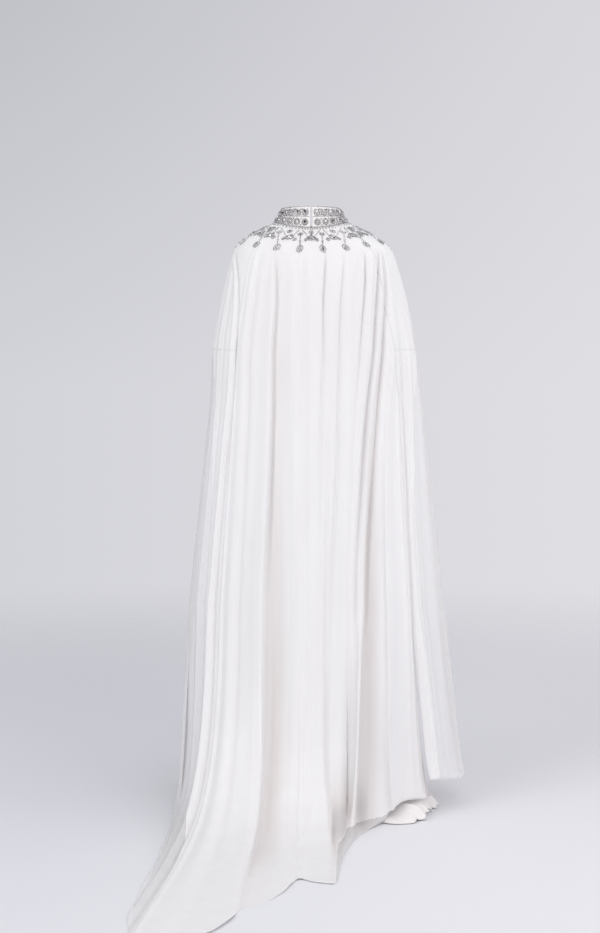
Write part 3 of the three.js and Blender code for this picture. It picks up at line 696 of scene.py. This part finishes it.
def sheer_panel(name, hem, rows, spans, edges, hems, trim=False, line=None, outside=None,
                lap=(), seam=(0, 0)):
    """One cloth of the sheer layer. hems says how many rows of its edges are rolled, lap
    sets its first rows in, behind the cloth above, and seam says how many rows at its top
    and bottom are pressed thin."""
    columns = np.linspace(0, 1, spans + 1)
    points, angle = panel_points(sheer_middle(hem), rows, columns, *edges, trim, line)
    if lap:
        inward = grid_normals(points)[: len(lap)]
        facing = np.einsum("ijk,ijk->ij", inward[..., :2], points[: len(lap), :, :2])
        points[: len(lap)] -= inward * np.sign(facing)[..., None] * np.array(lap)[:, None, None]
    # painted shade of each point, stored on the cloth for its material
    deep = painted_shade_tone(angle, rows).ravel()
    thick = hemmed(points.shape[:2], SHEER_THICK, SHEER_HEM, *hems)
    thick[: seam[0]] = SEAM_THICK
    thick[len(rows) - seam[1] :] = SEAM_THICK
    mask = outside(columns[:-1] + 0.5 / spans, angle, rows) if outside else None
    cloth = shell(name, points, thick, DENSE, see_through=mask)
    tone = cloth.data.attributes.new("deep", "FLOAT", "POINT")
    tone.data.foreach_set("value", np.concatenate([deep, deep]))
    finish_sheet(cloth)


def beyond(share, sign):
    """Cells of a sleeve that lie outside its double cloth."""

    def mask(middles, angle, rows):
        far = middles > share if sign > 0 else middles < share
        return np.repeat(far[None, :], len(rows) - 1, 0)

    return mask


def low_right(middles, angle, rows):
    """Cells of the back panel below the dense layer's hem, on its right."""
    a = (angle[:-1, :-1] + angle[1:, 1:]) / 2
    r = ((rows[:-1] + rows[1:]) / 2)[:, None]
    return (a < -9.6) & (a > -33) & (r > 14.2 + 0.05 * np.abs(a + 20))


# extra rows beside the elbow seam keep the shading at its edges even
upper_rows = np.append(rows_all[rows_all < ELBOW - 0.03], [ELBOW - 0.012, ELBOW])
lower_rows = rows_all[rows_all > ELBOW + 0.05]
lower_rows = np.append([ELBOW - 0.035, ELBOW, ELBOW + 0.03], lower_rows)

sheer_panel("cape_back_cloth", LEFT_HEM, rows_all, 216,
            (constant(-BACK_EDGE), constant(BACK_EDGE)), (0, 0, 0, HEM_ROWS),
            outside=low_right)
for side, sign, wing_hem in (("left", 1, LEFT_HEM), ("right", -1, HEM_LINES["wing_right"])):
    sleeve = sided(sign, constant(BACK_EDGE), wing_edge)
    front = sided(sign, front_edge, constant(FRONT_EDGE))
    share = DENSE_SHARE[sign]
    outer = beyond(share, sign)
    sheer_panel(f"upper_sleeve_{side}_cloth", wing_hem, upper_rows, 110, sleeve,
                (0, 0, 0, 0), trim=True, seam=(0, 1), outside=outer,
                line=(share, track(DENSE_LINES[f"upper_{side}"], "angle")))
    sheer_panel(f"wing_{side}_cloth", wing_hem, lower_rows, 120, sleeve,
                (*(0, 1)[::sign], 0, HEM_ROWS), lap=LAP, seam=(3, 0), outside=outer,
                line=(share, track(DENSE_LINES[side], "angle")))
    sheer_panel(f"cape_front_{side}_cloth", HEM_LINES[f"front_{side}"], rows_all, 70, front,
                (1, 1, 0, HEM_ROWS))


def armhole_edge(ring):
    inside = (ring > ARMHOLE_TOP) & (ring < ARMHOLE_BOTTOM)
    share = np.clip((ring - ARMHOLE_TOP) / (ARMHOLE_BOTTOM - ARMHOLE_TOP), 0, 1)
    return np.where(inside, 90 - ARMHOLE_DEPTH * np.sin(np.pi * share) ** 0.7, 90.0)


dress_rows = np.concatenate([np.linspace(0, 8, 97), np.linspace(8, 14, 61)[1:]])
for name, edges in (
    ("dress_back_cloth", (lambda r: -armhole_edge(r), armhole_edge)),
    ("dress_front_cloth", (lambda r: 180 - armhole_edge(r), lambda r: 180 + armhole_edge(r))),
):
    points, _ = panel_points(dress_middle, dress_rows, np.linspace(0, 1, 121), *edges)
    thick = hemmed(points.shape[:2], DRESS_THICK, DRESS_HEM, top=1, bottom=1)
    finish_sheet(shell(name, points, thick, DRESS))


def catmull(values, at):
    """Smooth curves through evenly spaced rows of values."""
    before, after = 2 * values[:1] - values[1:2], 2 * values[-1:] - values[-2:-1]
    padded = np.concatenate([before, values, after])
    i = np.clip(at.astype(int), 0, len(values) - 2)
    s = (at - i)[:, None]
    p0, p1, p2, p3 = padded[i], padded[i + 1], padded[i + 2], padded[i + 3]
    cubic = (2 * p0 - 5 * p1 + 4 * p2 - p3) * s**2 + (3 * p1 - p0 - 3 * p2 + p3) * s**3
    return 0.5 * (2 * p1 + (p2 - p0) * s + cubic)


def sleeve_points(sign):
    """Middle points of an under-dress sleeve, from the armhole to the cuff."""
    half = SLEEVE_SPANS // 2
    ring = np.linspace(ARMHOLE_TOP + 0.06, ARMHOLE_BOTTOM - 0.04, half + 1)
    ring = np.append(ring, ring[-2:0:-1])
    angle = np.minimum(armhole_edge(ring) + ARMHOLE_GAP, 90)
    angle[half:] = 180 - angle[half:]
    rings = [dress_middle(sign * angle, ring)]
    turn = 2 * np.pi * np.arange(SLEEVE_SPANS) / SLEEVE_SPANS
    wall = DRESS_THICK / 2
    count = len(ARM_SECTIONS["out"])
    for i in range(count):
        s = {k: v[i] for k, v in ARM_SECTIONS.items()}
        extra = RIGHT_ARM_OUT * min(1, i / RIGHT_ARM_FULL) if sign < 0 else 0
        centre = np.array([sign * (s["out"] + extra), s["back"], s["h"] - MOUNT_HEIGHT])
        lean, pitch = math.radians(s["lean"]), math.radians(s["pitch"])
        top = np.array([sign * math.sin(lean), 0, math.cos(lean)])
        back = np.array([0, math.cos(pitch), -math.sin(pitch)])
        long = top * (np.cos(turn) * (s["long"] - wall))[:, None]
        rings.append(centre + long + back * (np.sin(turn) * (s["broad"] - wall))[:, None])
    fine = np.linspace(0, count, 12 * count + 1)
    return catmull(np.reshape(rings, (count + 1, -1)), fine).reshape(len(fine), SLEEVE_SPANS, 3)


for side, sign in (("left", 1), ("right", -1)):
    cloth = shell(f"dress_sleeve_{side}_cloth", sleeve_points(sign), DRESS_THICK, DRESS,
                  ring=True, low=False)
    finish_sheet(cloth)


# Beadwork


def crystal(name, dark, light):
    """Cut glass on silver, with painted reflections: each facet is painted dark or light at random,
    held in the facet attribute, standing in for the dark and bright surroundings that cut glass
    reflects.
    """
    material, nodes, shader = node_material(name, {"Metallic": 0.75})
    middle = tuple(0.42 * d + 0.58 * v for d, v in zip(dark, light))
    ramp = add_ramp(nodes, [(0.12, dark), (1, light), (0.55, middle)])
    speck = add_node(nodes, "TexNoise", {"Scale": 420})
    rough = add_range(nodes, 0, 1, (0.08, 0.26))
    wire(add_node(nodes, "TexCoord"), "Object", speck, "Vector")
    wire(speck, "Fac", rough, "Value")
    wire(rough, "Result", shader, "Roughness")
    wire(add_attribute(nodes, "painted_facet_reflection"), "Fac", ramp, "Fac")
    wire(ramp, "Color", shader, "Base Color")
    return material


# painted reflections: near black and light grey, the colours of dark and bright facets
CRYSTAL = crystal("cut_crystal", (0.03, 0.03, 0.035), (0.8, 0.79, 0.8))


def oval(sides):
    turn = 2 * np.pi * np.arange(sides) / sides
    return np.stack([np.sin(turn), -np.cos(turn)], 1)


def pear(sides):
    turn = 2 * np.pi * np.arange(sides) / sides
    wide = np.sin(turn) * np.sin(turn / 2) ** 0.8
    return np.stack([1.12 * wide, -np.cos(turn)], 1)


def cut_stone(outline, base=0.9, girdle=0.4, top=0.56):
    """A faceted stone on an outline: corners and faces, one high and one half wide. The
    other sizes are shares: how wide its base and top are, and how high its girdle."""
    n = len(outline)
    half = (outline + np.roll(outline, -1, 0)) / 2
    levels = ((outline * base, 0), (outline, girdle), (half * top, 1))
    corners = np.concatenate([np.insert(ring, 2, high, 1) for ring, high in levels])
    faces = [list(range(n))[::-1], list(range(2 * n, 3 * n))]
    for i in range(n):
        j = (i + 1) % n
        faces.append([i, j, n + j, n + i])
        faces.append([n + i, n + j, 2 * n + i])
        faces.append([n + j, 2 * n + j, 2 * n + i])
    return corners, faces


ROUND_STONE = cut_stone(oval(8))
OVAL_STONE = cut_stone(oval(10))
PEAR_STONE = cut_stone(pear(10))
BEAD = cut_stone(oval(6), base=0.6, girdle=0.5, top=0.5)


# A stone in a halo of beads. Sizes are half sizes across and down, and a height.
Setting = namedtuple("Setting", "stone size halo beads bead")
SETTINGS = {
    "yoke oval": Setting(OVAL_STONE, (6.8, 5.0, 3.8), (9.6, 7.6), 17, 1.55),
    "small pear": Setting(PEAR_STONE, (3.0, 4.4, 2.8), (5.4, 6.6), 11, 1.3),
    "rosette": Setting(ROUND_STONE, (3.4, 3.4, 3.0), (5.4, 5.4), 10, 1.4),
    "low pear": Setting(PEAR_STONE, (2.3, 3.5, 2.4), (4.1, 5.0), 9, 1.15),
    "drop": Setting(PEAR_STONE, (4.3, 6.4, 3.6), (7.0, 9.4), 16, 1.35),
    "collar pear": Setting(PEAR_STONE, (4.6, 6.8, 3.6), (6.9, 9.0), 14, 1.45),
    "collar oval": Setting(OVAL_STONE, (5.0, 5.4, 3.6), (7.3, 8.0), 15, 1.45),
}
BEAD_HIGH = 1.5  # a bead's height, as a share of its half width
REPEATS = 18  # of the yoke's pattern, round the neck
NO_DROP = 5  # no drop hangs this close to a shoulder line, in degrees
YOKE_ROWS = {
    "dots": 0.2, "pear": 0.7, "rosette": 0.98, "oval": 1.42, "low pear": 1.6, "link": 1.76,
    "drop": 2.36,
}
DOTS, DOT_SIZE = 72, (1.8, 1.8, 2.4)
SMALL_STONE = (2.6, 2.6, 2.4)
OVAL_TOP = 11.4  # from the middle of a large oval to the stone above it
WIDER = 2.2  # how much wider the oval at the centre back is
STEMS = table("part row to_part to_row; 0.42 0.44 0.17 1.24; 0.58 0.44 0.83 1.24")
PULL, PULL_ANGLES = 0.85, (22, 58)
LINE_START = 2.03
# The shoulder lines, outward from the neck: half length of each piece and the gap after it
LINE_PIECES = (
    (OVAL_STONE, 4.2, 1.4), (BEAD, 1.4, 0.6), (OVAL_STONE, 4.2, 1.4), (BEAD, 1.4, 0.6),
    (PEAR_STONE, 4.6, 1.5), (BEAD, 1.4, 1.2), (OVAL_STONE, 3.6, 1.4), (BEAD, 1.3, 1.6),
    (OVAL_STONE, 3.4, 3.0), (BEAD, 1.3, 3.4), (BEAD, 1.3, 0),
)
LINE_WIDEST, BESIDE_LINE = 2.7, 3.9
BAND_OUT, BAND_THICK, BAND_EDGE = 1.2, 1.2, 1.8
COLLAR_PLACES, COLLAR_MARGIN = 26, 1.6
COLLAR_STRINGS = table("row beads size; 1.93 132 1.35; 1.06 140 1.2; 0.06 156 1.45")
COLLAR_BETWEEN = table("row size high; 1.7 2.1 2.2; 1.2 1.8 2.0; 0.84 1.9 2.0; 0.23 1.9 2.0")


class Beadwork:
    """Stones laid on a surface, each at an angle and a row, with an offset in millimetres
    across (to the wearer's left) and down."""

    def __init__(self, metric, surface, lift, seed):
        self.metric = metric
        self.surface = surface
        self.lift = lift
        self.draw = np.random.default_rng(seed)
        self.stones = []

    def shifted(self, angle, row, across, down):
        step = self.metric(angle + 0.5, row) - self.metric(angle - 0.5, row)
        fall = (self.metric(angle, row + 0.05) - self.metric(angle, row - 0.05)) / 0.1
        return angle + across / norm(step), row + down / norm(fall)

    def stone(self, kind, angle, row, size, across=0, down=0):
        at = self.shifted(angle, row, across, down) if across or down else (angle, row)
        self.stones.append((kind, *at, size))

    def bead(self, angle, row, size, across=0, down=0):
        self.stone(BEAD, angle, row, (size, size, size * BEAD_HIGH), across, down)

    def halo(self, setting, angle, row, wider=0, down=0, start=0, part=1):
        """Beads round a stone, or round a part of it from a share of the way round on."""
        for i in range(setting.beads):
            turn = 2 * np.pi * (start + part * (i + 0.5) / setting.beads)
            x, y = (setting.halo[0] + wider) * np.sin(turn), -setting.halo[1] * np.cos(turn)
            self.bead(angle, row, setting.bead, x, down + y)

    def mount(self, name, angle, row, wider=0):
        """A stone in its whole halo."""
        setting = SETTINGS[name]
        wide, long, high = setting.size
        self.stone(setting.stone, angle, row, (wide + wider, long, high))
        self.halo(setting, angle, row, wider)

    def chain(self, start, end, count, size, sag=0):
        """Beads from one (angle, row) to another, hanging a little between them."""
        for i in range(count):
            s = (i + 0.5) / count
            angle = start[0] + (end[0] - start[0]) * s
            row = start[1] + (end[1] - start[1]) * s
            self.bead(angle, row, size, 0, 4 * sag * s * (1 - s))

    def build(self, name, node):
        angles = np.array([s[1] for s in self.stones])
        rows = np.array([s[2] for s in self.stones])
        place = self.surface(angles, rows)
        across = unit(self.surface(angles + 0.3, rows) - self.surface(angles - 0.3, rows))
        down = self.surface(angles, rows + 0.04) - self.surface(angles, rows - 0.04)
        out = unit(np.cross(across, down))
        out *= np.sign(np.einsum("ij,ij->i", out[:, :2], place[:, :2]))[:, None]
        down = unit(down - across * np.einsum("ij,ij->i", down, across)[:, None])
        verts, faces, first = [], [], 0
        for stone, p, a, d, n in zip(self.stones, place, across, down, out):
            (corners, shape), _, _, size = stone
            x, y, z = (corners * size).T
            verts.append(p + x[:, None] * a + y[:, None] * d + (self.lift + z)[:, None] * n)
            flip = np.dot(np.cross(a, d), n) < 0
            faces.extend([[first + v for v in (f[::-1] if flip else f)] for f in shape])
            first += len(corners)
        flat = [False] * len(faces)
        obj = add_object(name, np.concatenate(verts) / 1000, faces, CRYSTAL, flat)
        # painted reflection: a random dark or light shade for each facet
        painted_facet_reflection = obj.data.attributes.new("painted_facet_reflection", "FLOAT", "FACE")
        painted_facet_reflection.data.foreach_set("value", self.draw.uniform(0, 1, len(faces)) ** 0.8)
        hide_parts(node)


def sheer_metric(angle, row):
    return ring_point(SHEER_RINGS, angle, row)


def round_places():
    """Angles at even shares of the way round the drops' row, along the cloth."""
    angle = np.arange(0, 361.0)
    points = sheer_metric(angle, np.full(361, YOKE_ROWS["drop"]))
    steps = norm(np.diff(points, axis=0), axis=1)
    length = np.concatenate([[0], np.cumsum(steps)])
    return lambda share: curve(length / length[-1], angle, share)


angle_at = round_places()


def whole_sheer(angle, row):
    """The sheer layer near the neck, at any angle."""
    wrapped = (np.asarray(angle) + 180) % 360 - 180
    return sheer_middle(LEFT_HEM)(wrapped, row)


def on_sheer(seed):
    return Beadwork(sheer_metric, whole_sheer, SHEER_THICK / 2 + 0.25, seed)


def hung(share, row):
    """Angle at a row, for beads that hang down to this share of the drops' row. Near the
    centre they hang straight, and over the shoulders they run out from the neck."""
    angle = angle_at(share % 1)
    off = min(angle % 180, 180 - angle % 180)
    pull = PULL * (1 - ease(*PULL_ANGLES, off))
    low = abs(sheer_metric(angle, YOKE_ROWS["drop"])[0])
    here = abs(sheer_metric(angle, row)[0])
    if here < 1:
        return angle
    power = along(SHEER_RINGS, "square", row) / 2
    wider = math.sin(math.radians(off)) * (1 + pull * (low / here - 1)) ** power
    moved = math.degrees(math.asin(min(wider, 1))) - off
    return angle + moved * (1 if angle % 180 < 90 else -1)


def add_yoke():
    work = on_sheer(21)
    rows = YOKE_ROWS
    for i in range(DOTS):
        work.stone(ROUND_STONE, angle_at((i + 0.5) / DOTS), rows["dots"], DOT_SIZE)
    for i in range(REPEATS):

        def at(part, row):
            return hung((i + part) / REPEATS, row), row

        # the large oval, with a stone and a small pear above it
        work.mount("yoke oval", *at(0, rows["oval"]), WIDER if i == 0 else 0)
        work.stone(ROUND_STONE, *at(0, rows["oval"]), SMALL_STONE, 0, -OVAL_TOP)
        work.mount("small pear", *at(0, rows["pear"]))
        # the rosette that carries the drop
        work.mount("rosette", *at(0.5, rows["rosette"]))
        work.chain(at(0.5, 1.2), at(0.5, 1.62), 4, 1.4)
        work.stone(ROUND_STONE, *at(0.5, rows["link"]), SMALL_STONE)
        # stems that lean from the collar to the ovals
        for part, row, to_part, to_row in zip(*STEMS.values()):
            work.chain(at(part, row), at(to_part, to_row), 8, 1.3, -2.5)
        for part in (0.25, 0.75):
            work.mount("low pear", *at(part, rows["low pear"]))
    work.build("yoke_beads", "yoke")


def add_drops():
    number = 0
    for i in range(REPEATS):
        share = (i + 0.5) / REPEATS
        angle = angle_at(share)
        if abs(abs(180 - angle) - 90) < NO_DROP:
            continue
        number += 1
        work = on_sheer(40 + i)
        work.chain((hung(share, 1.86), 1.86), (hung(share, 2.1), 2.1), 3, 1.4)
        setting = SETTINGS["drop"]
        work.stone(setting.stone, angle, YOKE_ROWS["drop"] + 0.01, setting.size)
        work.halo(setting, angle, YOKE_ROWS["drop"] + 0.015)
        work.build(f"drop_{number:02d}_stones", f"drop_{number:02d}")


def add_shoulder_lines():
    for side, sign in (("left", 1), ("right", -1)):
        work = on_sheer(70 + sign)
        angle = 90 * sign
        row = LINE_START
        for kind, half, gap in LINE_PIECES:
            wide, high = min(half, LINE_WIDEST), min(half * 1.1, LINE_WIDEST)
            work.stone(kind, angle, row, (wide, half, high), 0, half)
            if half > 3:
                for across in (-BESIDE_LINE, BESIDE_LINE):
                    for down in (-0.5, 0, 0.5):
                        work.bead(angle, row, 1, across, half * (1 + 1.2 * down))
            row = work.shifted(angle, row, 0, 2 * half + gap)[1]
        work.build(f"shoulder_line_{side}_beads", f"shoulder_line_{side}")


def collar_middle(angle, ring):
    return ring_point(COLLAR_RINGS, angle, ring)


def add_collar():
    # the band that carries the stones, slit at the centre back
    columns = np.linspace(COLLAR_SLIT, 360 - COLLAR_SLIT, 241)
    angle, ring = np.meshgrid(columns, np.linspace(0, 2, 21))
    points = collar_middle(angle, ring)
    points = points + grid_normals(points) * BAND_OUT
    thick = hemmed(points.shape[:2], BAND_THICK, BAND_EDGE, 1, 1, 1, 1)
    band = shell("collar_band", points, thick, DRESS)

    work = Beadwork(collar_middle, collar_middle, 0.2, 5)
    first = COLLAR_SLIT + COLLAR_MARGIN
    last = 360 - first

    def at(share):
        return first + (last - first) * share

    for row, beads, size in zip(*COLLAR_STRINGS.values()):
        for i in range(int(beads)):
            work.bead(at(i / (beads - 1)), row, size)
    pear = SETTINGS["collar pear"]
    for i in range(COLLAR_PLACES):
        angle = at((i + 0.5) / COLLAR_PLACES)
        work.stone(pear.stone, angle, 1.46, pear.size)
        work.halo(pear, angle, 1.46, down=-0.3, start=0.58, part=0.84)
        work.mount("collar oval", angle, 0.54)
        if i:
            for row, size, high in zip(*COLLAR_BETWEEN.values()):
                work.stone(ROUND_STONE, at(i / COLLAR_PLACES), row, (size, size, high))
    work.build("collar_stones", "collar")


add_yoke()
add_drops()
add_shoulder_lines()
add_collar()


# Stage, light and camera

CAMERA_AT = (0.028, 4.5, -0.30)
CAMERA_DOWN = 3.63
FOCAL_PIXELS, PHOTO_HEIGHT, SENSOR = 1759.5, 933, 36
FLOOR_RINGS, FLOOR_SPOKES, FLOOR_STEP, FLOOR_GROWTH = 40, 96, 0.3, 1.45
# Painted shade on the floor: its colour is painted darker towards the wearer's left (+X)
FLOOR_PAINTED_SHADE, FLOOR_SHADE_AT = ((0.86, 0.86, 0.88), (0.78, 0.79, 0.82)), (-0.7, 0.7)
FLOOR_FADE = (0.9, 4.6)
# The backdrop from right to left, its shade towards the top, and the sky above the view
BACKDROP, BACKDROP_AT = ((0.745, 0.738, 0.775), (0.645, 0.65, 0.69)), (-0.2, 0.2)
SHADE, SHADE_AT = ((0.95, 0.95, 0.955), (0.8, 0.805, 0.815)), (-0.02, 0.2)
SKY, SKY_AT = (0.85, 0.85, 0.86), (0.22, 0.34)
WARM, SOFT = (1, 0.985, 0.965), (1, 0.99, 0.98)
Light = namedtuple("Light", "name place target size watts colour")
LIGHTS = (
    Light("key", (3.0, 3.0, 1.4), (0, 0, -0.6), (2.6, 2.6), 61, WARM),
    Light("fill", (-2.0, 4.7, 1.1), (0, 0, -0.6), (3.8, 2.8), 58, SOFT),
    Light("top", (-1.0, 0.6, 2.7), (-0.2, 0, -1), (4.4, 4.4), 33, SOFT),
    Light("side", (-3.2, 1.2, 0.6), (-0.3, 0.2, -1.2), (2, 2), 10, SOFT),
)


def add_camera():
    data = bpy.data.cameras.new("camera")
    data.sensor_width = SENSOR
    data.lens = SENSOR * FOCAL_PIXELS / PHOTO_HEIGHT
    camera = placed("camera", data)
    camera.location = CAMERA_AT
    camera.rotation_euler = (math.radians(90 - CAMERA_DOWN), 0, math.pi)
    bpy.context.scene.camera = camera


def floor_material():
    rough = {"Roughness": 0.7, "Specular IOR Level": 0.2}
    material, nodes, shader = node_material("studio_floor", rough)
    place = add_node(nodes, "TexCoord")
    apart = add_node(nodes, "SeparateXYZ")
    across = add_range(nodes, *FLOOR_SHADE_AT)
    # painted shade across the floor, darker towards +X
    floor_shade_mix = add_mix(nodes, *FLOOR_PAINTED_SHADE)
    level = add_node(nodes, "VectorMath", {1: (1, 1, 0)})
    level.operation = "MULTIPLY"
    length = add_node(nodes, "VectorMath")
    length.operation = "LENGTH"
    fade = add_range(nodes, *FLOOR_FADE, (1, 0))
    fade.interpolation_type = "SMOOTHSTEP"
    wire(place, "Object", apart, "Vector")
    wire(apart, "X", across, "Value")
    wire(across, "Result", floor_shade_mix, "Factor")
    wire(floor_shade_mix, "Result", shader, "Base Color")
    wire(place, "Object", level, 0)
    wire(level, "Vector", length, 0)
    wire(length, "Value", fade, "Value")
    wire(fade, "Result", shader, "Alpha")
    return material


def add_floor():
    """A wide light floor, painted darker towards the wearer's left, that fades into the backdrop's
    colour.
    """
    height = -MOUNT_HEIGHT / 1000
    verts = [(0, 0, height)]
    for i in range(FLOOR_RINGS):
        radius = FLOOR_STEP * (i + 1) ** FLOOR_GROWTH
        for j in range(FLOOR_SPOKES):
            a = 2 * math.pi * j / FLOOR_SPOKES
            verts.append((radius * math.cos(a), radius * math.sin(a), height))
    faces = [(0, 1 + j, 1 + (j + 1) % FLOOR_SPOKES) for j in range(FLOOR_SPOKES)]
    for i in range(FLOOR_RINGS - 1):
        a = 1 + i * FLOOR_SPOKES
        b = a + FLOOR_SPOKES
        for j in range(FLOOR_SPOKES):
            k = (j + 1) % FLOOR_SPOKES
            faces.append((a + j, b + j, b + k, a + k))
    mesh = bpy.data.meshes.new("floor")
    mesh.from_pydata(verts, [], faces)
    mesh.materials.append(floor_material())
    placed("floor", mesh)


def add_world():
    world = bpy.data.worlds.new("studio")
    world.use_nodes = True
    nodes = world.node_tree.nodes
    place = add_node(nodes, "TexCoord")
    split = add_node(nodes, "SeparateXYZ")
    aside = add_range(nodes, *BACKDROP_AT)
    up, high = add_range(nodes, *SHADE_AT), add_range(nodes, *SKY_AT)
    wall, dim = add_mix(nodes, *BACKDROP), add_mix(nodes, *SHADE)
    shade = add_mix(nodes, blend="MULTIPLY")
    sky = add_mix(nodes, high=SKY, blend="MULTIPLY")
    wire(place, "Generated", split, "Vector")
    wire(split, "X", aside, "Value")
    for mix in (wall, dim):
        wire(aside, "Result", mix, "Factor")
    for height, mix in ((up, shade), (high, sky)):
        wire(split, "Z", height, "Value")
        wire(height, "Result", mix, "Factor")
    wire(wall, "Result", shade, "A")
    wire(dim, "Result", shade, "B")
    wire(shade, "Result", sky, "A")
    wire(sky, "Result", nodes["Background"], "Color")
    bpy.context.scene.world = world


def add_light(name, place, target, size, watts, colour):
    data = bpy.data.lights.new(name, "AREA")
    data.shape = "RECTANGLE"
    data.size, data.size_y = size
    data.energy = watts
    data.color = colour
    light = placed(name, data)
    light.location = place
    x, y, z = np.array(target) - np.array(place)
    pitch = math.atan2(math.hypot(x, y), -z)
    light.rotation_euler = (pitch, 0, math.atan2(y, x) - math.pi / 2)


add_camera()
add_floor()
add_world()
for light in LIGHTS:
    add_light(*light)
bpy.context.scene.view_settings.view_transform = "Standard"
bpy.context.scene.cycles.transparent_max_bounces = 24
